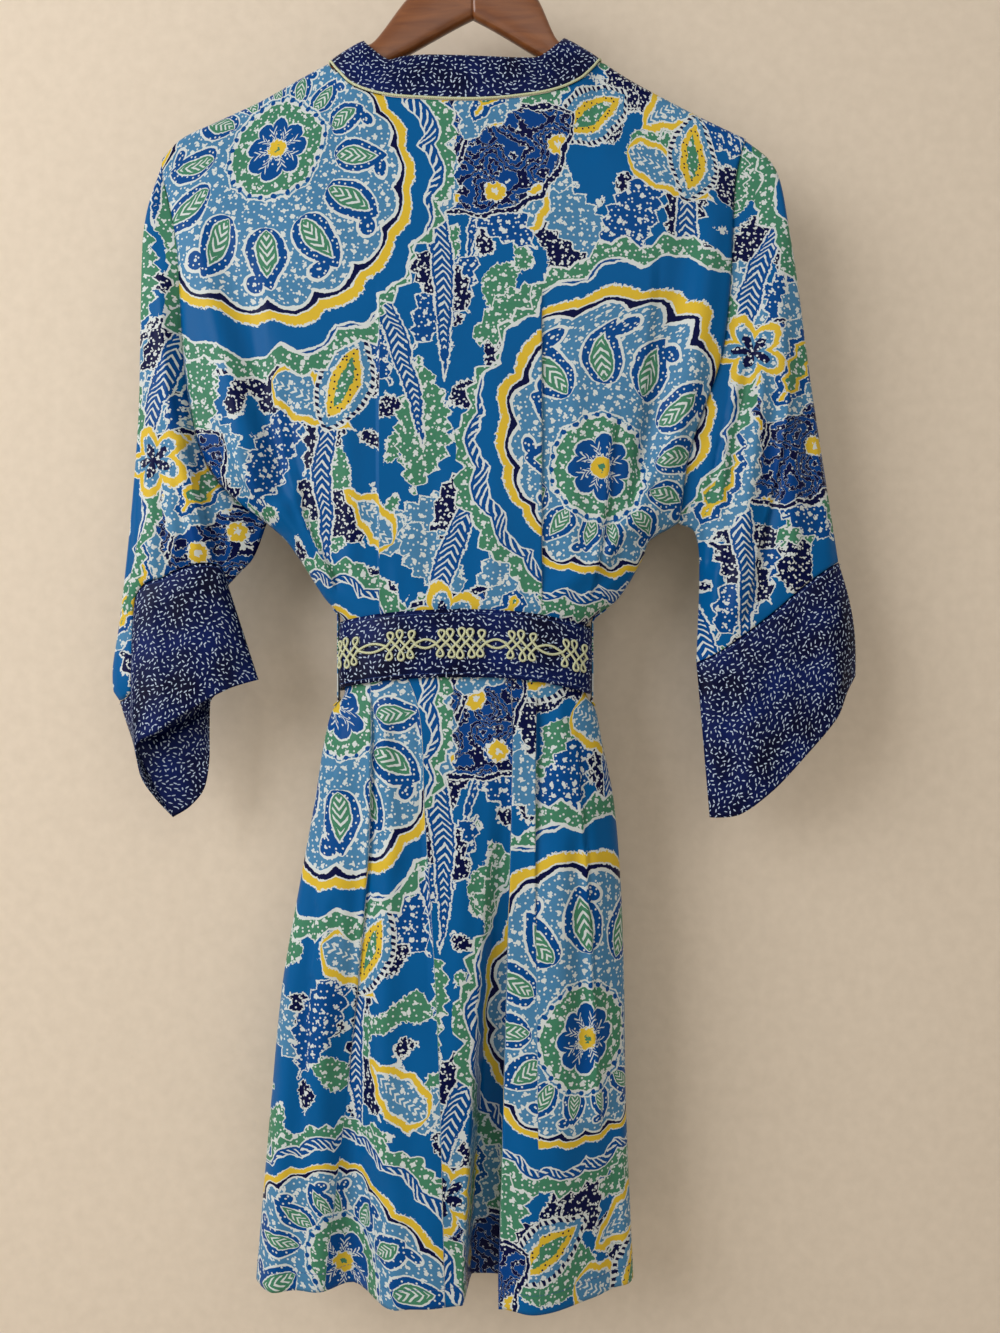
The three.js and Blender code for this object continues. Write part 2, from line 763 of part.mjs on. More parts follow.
// Braid: looped cord in five clusters, joined by two strands that bow apart and cross
const wasm = await Module();
wasm.setup();
const { CrossSection } = wasm;
const CORD = 2.6;
const CLUSTERS = table(
  ["at", "loops"],
  [
    [-95, 3],
    [-48, 3],
    [0, 5],
    [48, 3],
    [92, 3],
  ],
);
const LOOP_STEP = 8;

function oval(x, y, wide, high, sides, lean) {
  return CrossSection.circle(1, sides)
    .scale([wide / 2, high / 2])
    .rotate(lean)
    .translate([x, y]);
}

function strand(points) {
  const dots = points.map(([x, y]) => CrossSection.circle(CORD / 2, 6).translate([x, y]));
  return CrossSection.union(dots.slice(1).map((dot, i) => CrossSection.hull([dots[i], dot])));
}

const strokes = [];
const holes = [];
for (const { at, loops } of CLUSTERS) {
  for (let k = 0; k < loops; k += 1) {
    const place = k - (loops - 1) / 2;
    for (const up of [1, -1]) {
      const lean = -up * place * (loops === 3 ? 16 : 7);
      const high = 12.8 - 0.9 * Math.abs(place);
      const x = at + place * LOOP_STEP * 0.98 + (up < 0 ? -1 : 0);
      strokes.push(oval(x, up * (high / 2), 7.6, high, 8, lean));
      holes.push(oval(x, up * (high / 2 + 0.6), 2.6, high - 5.6, 6, lean));
    }
  }
  const reach = ((loops - 1) / 2) * LOOP_STEP + 4;
  const middle = Array.from({ length: loops * 2 + 1 }, (_, k) => {
    return [mix(at - reach, at + reach, k / (loops * 2)), k % 2 ? 0.5 : -0.3];
  });
  strokes.push(strand(middle));
}
for (let k = 0; k < CLUSTERS.length - 1; k += 1) {
  const from = CLUSTERS[k].at + ((CLUSTERS[k].loops - 1) / 2) * LOOP_STEP + 3;
  const to = CLUSTERS[k + 1].at - ((CLUSTERS[k + 1].loops - 1) / 2) * LOOP_STEP - 3;
  for (const side of [1, -1]) {
    const path = [0, 0.15, 0.32, 0.5, 0.68, 0.85, 1].map((t) => {
      return [mix(from, to, t), side * 3.4 * Math.sin(Math.PI * t)];
    });
    strokes.push(strand(path));
  }
}
const flat = CrossSection.union(strokes).subtract(CrossSection.union(holes));
const braid = flat.extrude(BRAID_RISE).refineToLength(11).warp((v) => {
  [v[0], v[1], v[2]] = beltAt(v[0], v[1], v[2] + 0.6);
});
const braidMesh = braid.getMesh();
const braidPoints = [];
for (let k = 0; k < braidMesh.numVert; k += 1) {
  braidPoints.push(new THREE.Vector3().fromArray(braidMesh.vertProperties, k * braidMesh.numProp));
}
add("belt_braid", closedBody(braidPoints, [...braidMesh.triVerts]), PALE, 0.6);

// Belt loops on the side seams
const LOOP_WIDE = 9;
const LOOP_WALL = 1.2;
for (const side of ["left", "right"]) {
  const turn = side === "left" ? -1 : 1;
  const over = BELT.centre + turn * (BELT.half + SEAM_GAP + LOOP_WALL);
  const grid = [-602, -610, -618, -640, -662, -671, -682].map((z) => {
    const cloth = read(BODY, "z", side, z) + turn * (SEAM_GAP + LOOP_WALL + 0.6);
    const x = z < -602 && z > -682 ? over : cloth;
    const far = turn > 0 ? Math.max(x, cloth) : Math.min(x, cloth);
    return [-1, 0, 1].map((t) => new THREE.Vector3(far, (t * LOOP_WIDE) / 2, z));
  });
  add(`belt_loop_${side}`, clothWall(grid, LOOP_WALL, turn, false), PRINT, 0.45);
}

// Knot and tails of the belt, at the front
const KNOT = { x: -8, z: -640, wide: 40, high: 46, deep: 15 };
const knotY = BELT.front + SEAM_GAP + KNOT.deep / 2;
const knotRings = [-1, -0.92, -0.7, -0.3, 0.3, 0.7, 0.92, 1].map((h) => {
  const shrink = Math.max(0.3, (1 - Math.abs(h) ** 3) ** 0.4);
  return Array.from({ length: 10 }, (_, k) => {
    const a = (2 * Math.PI * k) / 10;
    return new THREE.Vector3(
      KNOT.x + (KNOT.wide / 2) * shrink * Math.cos(a),
      knotY + (KNOT.deep / 2) * shrink * Math.sin(a),
      KNOT.z + (h * KNOT.high) / 2,
    );
  });
});
add("belt_knot", rod(knotRings), NAVY, 0.5);
const TAILS = table(
  ["name", "top", "low", "end", "wide", "lift"],
  [
    ["left", -14, -58, -1085, 44, 3],
    ["right", -4, -6, -1060, 44, 5.7],
  ],
);
for (const { name, top, low, end, wide, lift } of TAILS) {
  const grid = [0, 0.04, 0.1, 0.2, 0.35, 0.5, 0.65, 0.8, 0.9, 1].map((t) => {
    const z = mix(KNOT.z - KNOT.high / 2 - 0.5, end, t);
    const middle = mix(top, low, smooth(t * 2.2));
    const half = (mix(0.34, 1, smooth(t * 6)) * wide) / 2;
    return [-1, -0.33, 0.33, 1].map((u) => {
      const x = middle + u * half + (name === "left" ? -6 : 6) * (1 - smooth(t * 6));
      const rest = frontDepth("left", x, z) + lift;
      return new THREE.Vector3(x, mix(knotY + lift - TAILS[0].lift, rest, smooth(t * 8)), z);
    });
  });
  add(`belt_tail_${name}`, clothWall(grid, BELT_WALL, -1, false), NAVY, 0.5);
}

// Hanger: two wooden arms glued at the middle, and a steel hook
const ARM = {
  left: table(
    ["x", "top", "bottom", "half"],
    [
      [-224, -207.5, -216, 4.5],
      [-219, -204.5, -219, 6],
      [-206, -197.8, -216.5, 7],
      [-172, -181.4, -203.5, 7],
      [-144, -165.4, -189, 7],
      [-118, -151.6, -175, 7],
      [-90, -135, -160, 7],
      [-80, -129.5, -154, 7],
      [-53, -94.4, -139.5, 7.5],
      [-30, -75, -126.5, 8],
      [-12, -66.5, -116.5, 8],
      [0.7, -64, -110, 8],
    ],
  ),
  right: table(
    ["x", "top", "bottom", "half"],
    [
      [1, -64, -110, 8],
      [14, -66.5, -117, 8],
      [32, -75, -127.5, 8],
      [54, -94.4, -141, 7.5],
      [69, -127, -149, 7],
      [76, -133, -153, 7],
      [84, -138, -158, 7],
      [107, -151, -171, 7],
      [128, -163.6, -183, 7],
      [159, -180.4, -199, 7],
      [190, -196.4, -213, 7],
      [219, -209.5, -221, 6],
      [224, -212.5, -219, 4.5],
    ],
  ),
};
for (const side of ["left", "right"]) {
  const rings = ARM[side].map(({ x, top, bottom, half }) => {
    const ring = [
      [half * 0.35, top],
      [half * 0.75, top - 1.8],
      [half, top - 5],
      [half, bottom + 4],
      [half * 0.5, bottom],
    ];
    const mirrored = ring.map(([y, z]) => [-y, z]).reverse();
    return [...ring, ...mirrored].map(([y, z]) => new THREE.Vector3(x, y, z));
  });
  add(`hanger_arm_${side}`, rod(rings), WOOD, 0.4);
}

const HOOK_WIRE = 1.8;
const HOOK_RADIUS = 20 + HOOK_WIRE;
const hookPath = [
  [0.85, -63.6],
  [0.85, -54],
  [3, -48],
  [8.5, -42.5],
].map(([x, z]) => new THREE.Vector3(x, 0, z));
for (let degrees = -60; degrees <= 205; degrees += 20) {
  const a = (degrees * Math.PI) / 180;
  hookPath.push(
    new THREE.Vector3(HOOK_RADIUS * Math.cos(a), 0, HOOK_WIRE - HOOK_RADIUS + HOOK_RADIUS * Math.sin(a)),
  );
}
const hookRings = hookPath.map((p, j) => {
  const before = hookPath[Math.max(0, j - 1)];
  const after = hookPath[Math.min(hookPath.length - 1, j + 1)];
  const along = j === 0 ? new THREE.Vector3(0, 0, 1) : after.clone().sub(before).normalize();
  const out = new THREE.Vector3(0, 1, 0);
  const side = along.clone().cross(out);
  return Array.from({ length: 8 }, (_, k) => {
    const a = (2 * Math.PI * k) / 8;
    return p
      .clone()
      .addScaledVector(out, HOOK_WIRE * Math.sin(a))
      .addScaledVector(side, HOOK_WIRE * Math.cos(a));
  });
});
add("hanger_hook", rod(hookRings), STEEL, 0.3, 0.9);

export default robe;
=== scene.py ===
# A short satin wrap robe in kimono style on a wooden hanger, hung against a wall with its back out.
# Metres, in the solids' own frame: the origin is where the hook bears on its rail, +Z is up and
# the robe's back faces -Y. Sizes of the cloth pieces are in millimetres until a mesh is made.
import math
import bpy
import numpy as np
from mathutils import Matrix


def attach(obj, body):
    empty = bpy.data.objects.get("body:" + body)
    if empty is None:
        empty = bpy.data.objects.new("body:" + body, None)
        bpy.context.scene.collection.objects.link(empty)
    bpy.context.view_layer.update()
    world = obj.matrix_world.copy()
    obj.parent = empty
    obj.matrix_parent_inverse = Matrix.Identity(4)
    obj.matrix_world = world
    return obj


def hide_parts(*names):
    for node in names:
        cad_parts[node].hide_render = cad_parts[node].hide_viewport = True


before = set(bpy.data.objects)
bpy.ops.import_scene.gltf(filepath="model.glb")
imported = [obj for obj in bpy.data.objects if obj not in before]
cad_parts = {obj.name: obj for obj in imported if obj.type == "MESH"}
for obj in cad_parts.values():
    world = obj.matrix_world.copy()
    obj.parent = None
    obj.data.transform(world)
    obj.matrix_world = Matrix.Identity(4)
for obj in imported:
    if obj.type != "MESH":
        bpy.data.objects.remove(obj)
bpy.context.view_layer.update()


def new_object(name, data):
    piece = bpy.data.objects.new(name, data)
    bpy.context.scene.collection.objects.link(piece)
    return piece


# The room: a plain pale wall behind the robe, a plain pale floor out of sight below it, and
# soft light from the left and above. The camera stands level with the robe's waist.
eye = new_object("Camera", bpy.data.cameras.new("Camera"))
eye.location = (0.0232, -0.830, -0.647)
eye.rotation_euler = (math.radians(90), 0, 0)
eye.data.lens = 27.03
eye.data.sensor_width = 36
eye.data.clip_start = 0.02
bpy.context.scene.camera = eye
bpy.context.scene.view_settings.view_transform = "Standard"


def linear(red, green, blue):
    def one(value):
        value /= 255
        return value / 12.92 if value <= 0.04045 else ((value + 0.055) / 1.055) ** 2.4

    return (one(red), one(green), one(blue), 1.0)


def new_material(name):
    material = bpy.data.materials.new(name)
    material.use_nodes = True
    return material, material.node_tree, material.node_tree.nodes["Principled BSDF"]


def join(tree, socket, target):
    tree.links.new(socket, target)


def grained(name, texture, dark, light, spots=(0.0, 1.0), bump=None, turned=None, **settings):
    """A material tinted between two shades by a texture on the piece's own place, with its bump."""
    material, tree, shader = new_material(name)
    place = tree.nodes.new("ShaderNodeTexCoord").outputs["Object"]
    if turned:
        lie = tree.nodes.new("ShaderNodeMapping")
        lie.inputs["Rotation"].default_value, lie.inputs["Scale"].default_value = turned
        join(tree, place, lie.inputs["Vector"])
        place = lie.outputs["Vector"]
    grain = tree.nodes.new("ShaderNodeTex" + texture)
    for setting, value in settings.items():
        grain.inputs[setting].default_value = value
    join(tree, place, grain.inputs["Vector"])
    tint = tree.nodes.new("ShaderNodeValToRGB")
    for stop, spot, colour in zip(tint.color_ramp.elements, spots, (dark, light)):
        stop.position, stop.color = spot, linear(*colour)
    join(tree, grain.outputs["Fac"], tint.inputs["Fac"])
    join(tree, tint.outputs["Color"], shader.inputs["Base Color"])
    if bump:
        rough = tree.nodes.new("ShaderNodeBump")
        rough.inputs["Strength"].default_value, rough.inputs["Distance"].default_value = bump
        join(tree, grain.outputs["Fac"], rough.inputs["Height"])
        join(tree, rough.outputs["Normal"], shader.inputs["Normal"])
    return material, tree, shader, grain


def plane(name, corners, material):
    mesh = bpy.data.meshes.new(name)
    mesh.from_pydata(corners, [], [(0, 1, 2, 3)])
    mesh.materials.append(material)
    new_object(name, mesh)


plaster, tree, shader, grain = grained("plaster", "Noise", (216, 202, 183), (222, 208, 189), spots=(0.3, 0.7),
                                       bump=(0.25, 0.0012), Scale=90, Detail=6)
shader.inputs["Roughness"].default_value = 0.95
shader.inputs["Specular IOR Level"].default_value = 0.1
# The wall shows from the room's side only, so that views from behind see the robe
side = tree.nodes.new("ShaderNodeNewGeometry")
clear = tree.nodes.new("ShaderNodeBsdfTransparent")
either = tree.nodes.new("ShaderNodeMixShader")
join(tree, side.outputs["Backfacing"], either.inputs["Fac"])
join(tree, shader.outputs["BSDF"], either.inputs[1])
join(tree, clear.outputs["BSDF"], either.inputs[2])
join(tree, either.outputs["Shader"], tree.nodes["Material Output"].inputs["Surface"])
WALL_Y, FLOOR_Z = 0.068, -1.33
plane("wall", [(-4, WALL_Y, FLOOR_Z), (4, WALL_Y, FLOOR_Z), (4, WALL_Y, 2), (-4, WALL_Y, 2)], plaster)

paint, tree, shader, grain = grained("floor paint", "Noise", (214, 205, 192), (224, 216, 204), Scale=14)
shader.inputs["Roughness"].default_value = 0.8
plane("floor", [(-4, -4, FLOOR_Z), (4, -4, FLOOR_Z), (4, 4, FLOOR_Z), (-4, 4, FLOOR_Z)], paint)


def lamp(name, spot, aim, size, power, colour):
    light = bpy.data.lights.new(name, "AREA")
    light.shape = "RECTANGLE"
    light.size, light.size_y = size
    light.energy = power
    light.color = colour
    piece = new_object(name, light)
    piece.location = spot
    away = np.subtract(spot, aim)
    flat_run = math.hypot(away[0], away[1])
    piece.rotation_euler = (math.atan2(flat_run, away[2]), 0, math.atan2(away[0], -away[1]))


lamp("window", (-1.75, -1.5, 0.15), (0.0, 0.0, -0.6), (1.6, 1.6), 41, (0.99, 0.99, 1.0))
lamp("room", (0.9, -2.6, 0.6), (0.0, 0.0, -0.6), (2.4, 2.4), 15, (1.0, 0.95, 0.88))
air = bpy.data.worlds.new("air")
bpy.context.scene.world = air
air.use_nodes = True
air.node_tree.nodes["Background"].inputs["Color"].default_value = (1.0, 0.965, 0.92, 1)
air.node_tree.nodes["Background"].inputs["Strength"].default_value = 0.37

# The hanger: two turned arms of oiled walnut, glued at the middle, and a bent steel hook.


def robe_piece(name, mesh):
    """An object that rides on the part's one body."""
    piece = new_object(name, mesh)
    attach(piece, "root")
    return piece


def mesh_piece(name, points, faces, material):
    mesh = bpy.data.meshes.new(name)
    mesh.from_pydata((np.asarray(points, float) * 0.001).tolist(), [], faces)
    mesh.polygons.foreach_set("use_smooth", [True] * len(faces))
    mesh.materials.append(material)
    mesh.update()
    return robe_piece(name, mesh)


def curve(along, values, at):
    """A smooth line through the points of a table, that never runs past them."""
    along, values = np.asarray(along, float), np.asarray(values, float)
    if along[-1] < along[0]:
        along, values = along[::-1], values[::-1]
    at = np.asarray(at, float)
    last = len(along) - 1
    i = np.clip(np.searchsorted(along, at, side="left") - 1, 0, last - 1)
    before, after = np.maximum(np.arange(last + 1) - 1, 0), np.minimum(np.arange(last + 1) + 1, last)
    slopes = (values[after] - values[before]) / (along[after] - along[before])
    span = along[i + 1] - along[i]
    t = np.clip((at - along[i]) / span, 0, 1)
    steep = (values[i + 1] - values[i]) / span

    def calm(slope):
        kept = np.sign(slope) * np.minimum(np.abs(slope), 3 * np.abs(steep))
        return np.where(slope * steep <= 0, 0, kept) * span

    t2, t3 = t * t, t * t * t
    ends = (2 * t3 - 3 * t2 + 1) * values[i] + (3 * t2 - 2 * t3) * values[i + 1]
    return ends + (t3 - 2 * t2 + t) * calm(slopes[i]) + (t3 - t2) * calm(slopes[i + 1])


def tube_faces(rings, size, capped=True):
    faces = []
    for j in range(rings - 1):
        for i in range(size):
            a, b = j * size + i, j * size + (i + 1) % size
            faces.append((a, b, b + size, a + size))
    if capped:
        faces.append(tuple(range(size))[::-1])
        faces.append(tuple((rings - 1) * size + i for i in range(size)))
    return faces


GRAIN_LIES = ((0, math.radians(28), 0), (6, 60, 44))
walnut, tree, shader, grain = grained("walnut", "Noise", (98, 52, 24), (140, 84, 42), spots=(0.2, 0.8),
                                      bump=(0.2, 0.0004), turned=GRAIN_LIES, Scale=3.5, Detail=8, Distortion=0.6)
shader.inputs["Roughness"].default_value = 0.32
shader.inputs["Coat Weight"].default_value = 0.35
shader.inputs["Coat Roughness"].default_value = 0.2

# Profile of each arm: distance out, top, bottom, half thickness
ARMS = {
    "left": [(-224, -207.5, -216, 4.5), (-219, -204.5, -219, 6), (-206, -197.8, -216.5, 7),
             (-172, -181.4, -203.5, 7), (-144, -165.4, -189, 7), (-118, -151.6, -175, 7),
             (-90, -135, -160, 7), (-80, -129.5, -154, 7), (-53, -94.4, -139.5, 7.5),
             (-30, -75, -126.5, 8), (-12, -66.5, -116.5, 8), (0.7, -64, -110, 8)],
    "right": [(0.72, -64, -110, 8), (14, -66.5, -117, 8), (32, -75, -127.5, 8), (54, -94.4, -141, 7.5),
              (69, -127, -149, 7), (76, -133, -153, 7), (84, -138, -158, 7), (107, -151, -171, 7),
              (128, -163.6, -183, 7), (159, -180.4, -199, 7), (190, -196.4, -213, 7),
              (219, -209.5, -221, 6), (224, -212.5, -219, 4.5)],
}
for hand, rows in ARMS.items():
    x, top, bottom, half = np.array(rows, float).T
    along = np.linspace(x[0], x[-1], 90)
    high, low, thick = (curve(x, value, along) for value in (top, bottom, half))
    points = []
    for k in range(len(along)):
        middle, reach = (high[k] + low[k]) / 2, (high[k] - low[k]) / 2
        for turned in np.linspace(0, 2 * math.pi, 20, endpoint=False):
            c, s = math.cos(turned), math.sin(turned)
            y = thick[k] * math.copysign(abs(c) ** 0.62, c)
            z = middle + reach * math.copysign(abs(s) ** 0.8, s)
            points.append((along[k], y, z))
    arm = mesh_piece(f"hanger_{hand}_arm", points, tube_faces(len(along), 20), walnut)
    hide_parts(f"hanger_arm_{hand}")

steel, tree, shader, grain = grained("hook steel", "Noise", (168, 168, 170), (205, 205, 206), Scale=220)
shader.inputs["Metallic"].default_value = 1.0
worn = tree.nodes.new("ShaderNodeMapRange")
worn.inputs["To Min"].default_value = 0.16
worn.inputs["To Max"].default_value = 0.34
join(tree, grain.outputs["Fac"], worn.inputs["Value"])
join(tree, worn.outputs["Result"], shader.inputs["Roughness"])

HOOK_WIRE, HOOK_BEND = 1.8, 21.8
path = [(0.85, -63.4), (0.85, -58), (0.95, -54), (1.6, -50.6), (3.2, -47.4), (5.6, -44.6)]
for degrees in range(-60, 201, 6):
    a = math.radians(degrees)
    path.append((HOOK_BEND * math.cos(a), HOOK_WIRE - HOOK_BEND + HOOK_BEND * math.sin(a)))
points = []
for k, (x, z) in enumerate(path):
    (x1, z1), (x2, z2) = path[max(0, k - 1)], path[min(len(path) - 1, k + 1)]
    run = math.hypot(x2 - x1, z2 - z1)
    for turned in np.linspace(0, 2 * math.pi, 14, endpoint=False):
        out, deep = HOOK_WIRE * math.cos(turned), HOOK_WIRE * math.sin(turned)
        points.append((x + out * (z2 - z1) / run, deep, z - out * (x2 - x1) / run))
hook = mesh_piece("hook", points, [f[::-1] for f in tube_faces(len(path), 14)], steel)
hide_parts("hanger_hook")

# The back: one piece of print satin from shoulder to hem. Two tucks are stitched down from the
# shoulder blades to the belt, and below the belt the cloth opens in pleats.
HEM, YOKE, PLEATS_FROM = -1148, -300, -640
TIPS = {"left": -228, "right": -211}
NECK = {"left": (-118, -149), "right": (107, -147.5)}

# By height: both edges, depth of back and front, and depth of the armhole's edge
BODY = np.array([
    (-211, -254.6, 226, 20, 18, 0), (-228, -254.4, 221, 21, 19, 1), (-250, -252.5, 216.5, 22, 20, 6),
    (-300, -241.5, 213.5, 25, 24, 12), (-345, -238, 210.5, 28, 27, 14), (-392, -235, 204.5, 30, 30, 15),
    (-434, -230, 191, 31, 32, 14), (-470, -222, 179, 32, 33, 12), (-495, -209, 175, 32, 34, 9),
    (-515, -189, 173.2, 32.5, 34, 4), (-528, -171, 171, 33, 35, 0), (-542, -155, 148, 33, 35, 0),
    (-559, -142.5, 141, 33, 35, 0), (-592, -121, 120.5, 33, 35, 0), (-602, -111, 107, 33, 35, 0),
    (-610, -105.3, 96.5, 33, 35, 0), (-618, -105, 94, 33, 35, 0), (-662, -105, 94, 33, 35, 0),
    (-671, -105.5, 94.8, 33, 35, 0), (-682, -115, 102, 34, 36, 0), (-708, -122, 107.5, 37, 40, 0),
    (-758, -130, 117.5, 40, 44, 0), (-832, -143.5, 123.5, 43, 47, 0), (-907, -156.5, 126, 44, 48, 0),
    (-1006, -166, 127.5, 45, 50, 0), (-1148, -178, 133.5, 45, 50, 0),
], float).T
SIDES = {"left": 1, "right": 2, "back": 3, "front": 4, "edge": 5}
TOP = np.array([
    (-256, -229, 0), (-241, -212, 0), (-206, -195, 0), (-172, -179, 0), (-144, -163, 0),
    (-118, -149, 0), (-117.2, -150.4, 6), (-115.4, -153.2, 9), (-111.5, -159, 11.5), (-98, -174, 16),
    (-71, -184, 18), (-35, -187.5, 19), (1, -188.5, 19), (37, -186, 19), (68, -180, 18),
    (89, -170, 16), (100.5, -157.5, 11.5), (104.4, -151.7, 9), (106.2, -148.9, 6), (107, -147.5, 0),
    (128, -161, 0), (159, -178, 0), (190, -194, 0), (227, -211.5, 0),
], float).T

# Folds of the back: a line from one point to another, its widths, and its rises at both ends
BACK_FOLDS = [
    (-225, -300, -172, -500, 14, 12, 3, 6), (-205, -300, -150, -480, 14, 12, -2, -5),
    (200, -290, 172, -470, 14, 12, 3, 5), (180, -280, 140, -480, 14, 12, -2, -5),
    (-150, -520, -80, -590, 12, 9, 4, 3), (140, -525, 70, -590, 12, 9, 4, 3),
    (-128, -760, -138, -1148, 12, 18, -2, -6), (-90, -700, -97, -1148, 12, 20, -2, -20),
    (76, -720, 62, -1148, 18, 26, 3, 9), (-20, -800, -36, -1148, 18, 20, 1, 4),
    # drag folds under the arms, fanning up to the shoulder and down to the waist
    (-190, -480, -118, -572, 7, 6, 3, 2.5), (-176, -430, -128, -560, 6, 5, -2, -3.2),
    (-212, -420, -160, -540, 6, 6, 2.5, 3), (160, -470, 104, -570, 7, 6, 3.2, 2.6),
    (150, -420, 118, -560, 6, 5, -1.6, -3.2), (166, -540, 92, -596, 5, 5, 2, 2.2),
    (-160, -548, -92, -600, 5, 5, 2, 2.2), (188, -410, 150, -520, 7, 6, 2, 2.6),
    # shoulder blades and yoke
    (-150, -230, -110, -330, 22, 26, 1.5, 0), (120, -240, 96, -340, 22, 24, 1.5, 0),
    (-100, -400, -96, -560, 10, 8, 1.2, 1.8), (20, -420, 16, -580, 14, 10, 0.8, 1.5),
    (84, -400, 80, -560, 9, 8, 1.4, 2), (-30, -440, -34, -590, 12, 8, -0.6, -1.6),
    # small gathers above and below the belt
    (-60, -566, -58, -604, 5, 4, 0.6, 1.8), (-12, -572, -12, -604, 6, 4, 0.4, 1.6),
    (36, -570, 38, -604, 5, 4, 0.5, 1.7), (-88, -574, -84, -604, 5, 4, 0.6, 2),
    (-66, -664, -68, -730, 5, 8, 2.4, 0.4), (-18, -664, -14, -720, 5, 8, 2, 0.3),
    (14, -664, 20, -730, 5, 8, 2.2, 0.4), (70, -664, 74, -740, 5, 9, 2.6, 0.6),
    (-88, -664, -96, -740, 5, 8, 2.2, 0.5), (34, -664, 36, -712, 4, 6, -2, -0.3),
    # long soft folds of the skirt
    (-92, -780, -118, -960, 9, 12, 2.4, 2), (-66, -800, -72, -1040, 9, 13, 3, 4),
    (-108, -840, -112, -1010, 6, 9, -2.4, -2), (96, -760, 104, -1000, 9, 12, 2, 3.2),
    (84, -790, 88, -960, 7, 9, -2, -2.6), (-4, -760, -10, -960, 9, 10, 2, 1.6), (-72, -690, -60, -800, 7, 9, 4, 2),
    (40, -860, 44, -1148, 12, 15, 1.5, 4), (112, -900, 118, -1148, 8, 12, -1.5, -4),
    (-152, -900, -162, -1148, 9, 12, 1.6, 4), (-56, -1000, -62, -1148, 9, 12, 1, 5),
]
# Sharp creases: their line by height, the side that lies lower, and the rises beside it
BACK_CREASES = [
    ([(-430, 116), (-500, 111), (-575, 100), (-604, 92)], 1, 3, 4),
    ([(-400, -156), (-455, -148), (-525, -134), (-575, -112)], 1, 3, 4),
    ([(-300, -176), (-400, -168), (-500, -150)], -1, 1.5, 2), ([(-300, 150), (-420, 142), (-520, 128)], 1, 1.5, 2),
    ([(-690, 84), (-800, 92), (-1000, 104)], 1, 2, 3), ([(-690, -104), (-800, -122), (-1000, -134)], -1, 2, 3),
]
# Tucks and pleats: where the cloth folds over itself, by height
TUCKS = {
    "left": [(-211, -73), (-345, -73.5), (-600, -73.5), (-680, -42), (-760, -36.5), (-930, -26), (-1148, -20)],
    "right": [(-211, 56.5), (-345, 56.5), (-600, 56.5), (-680, 52.4), (-800, 51), (-1148, 54)],
    "fold": [(-211, 30), (-600, 30), (-700, 33), (-760, 32), (-1148, 21.5)],
    "gather": [(-211, -112), (-500, -104), (-600, -86), (-700, -80), (-800, -82), (-950, -96), (-1148, -118)],
}


def smooth(t):
    t = np.clip(t, 0, 1)
    return t * t * (3 - 2 * t)


def mix(a, b, t):
    return a + (b - a) * t


def body(name, z):
    return curve(BODY[0], BODY[SIDES[name]], z)


def fold_rise(rows, x, z):
    total = np.zeros(np.broadcast(x, z).shape)
    for x1, z1, x2, z2, width1, width2, rise1, rise2 in rows:
        dx, dz = x2 - x1, z2 - z1
        c = np.clip(((x - x1) * dx + (z - z1) * dz) / (dx * dx + dz * dz), 0, 1)
        away = np.hypot(x - x1 - c * dx, z - z1 - c * dz)
        total += mix(rise1, rise2, c) * np.exp(-((away / mix(width1, width2, c)) ** 2))
    return total


def crease_rise(rows, x, z):
    total = np.zeros(x.shape)
    for line, way, high, low in rows:
        heights, places = np.array(line, float).T
        out = (x - curve(heights, places, z)) * way
        held = smooth((heights[0] - z) / 40) * smooth((z - heights[-1] + 30) / 30)
        ridge, trough = high * np.exp(np.minimum(out, 0) / 12), -low * np.exp(-np.maximum(out, 0) / 7)
        total += held * np.where(out < 0, ridge, trough)
    return total


def fullness(x, z):
    left, right = body("left", np.minimum(z, -211)), body("right", np.minimum(z, -211))
    away = np.minimum(1, np.abs((2 * x - left - right) / (right - left)))
    return (1 - away ** 2.5) ** 0.4


def fold_fade(x, z):
    waist = smooth((np.abs(z + 634) - 30) / 34)
    return waist * smooth((fullness(x, z) - 0.3) / 0.4) * smooth((-225 - z) / 80)


def roll(drop):
    t = 1 - np.clip(drop / 10, 0, 1)
    return 10 * np.sqrt(1 - t * t)


def hanging(name, x, z, start, drop):
    edge = body("edge", z)
    section = edge + (body(name, z) - edge) * fullness(x, z)
    return mix(start, section, smooth(drop / 90))


def line_at(name, z):
    heights, places = np.array(TUCKS[name]).T
    return curve(heights, places, z)


def laid_over(out, high, high_run, low, low_run):
    """Cloth laid over at a line: it rises up to the line and drops behind it."""
    return np.where(out < 0.01, high * np.exp(out / high_run), -low * np.exp(-out / low_run))


def let_out(z, end, run):
    """How far a tuck has opened below the belt, dying away before a height."""
    return np.where(z < PLEATS_FROM, 1, 0) * smooth((PLEATS_FROM - z) / 30) * smooth((end + z) / run)


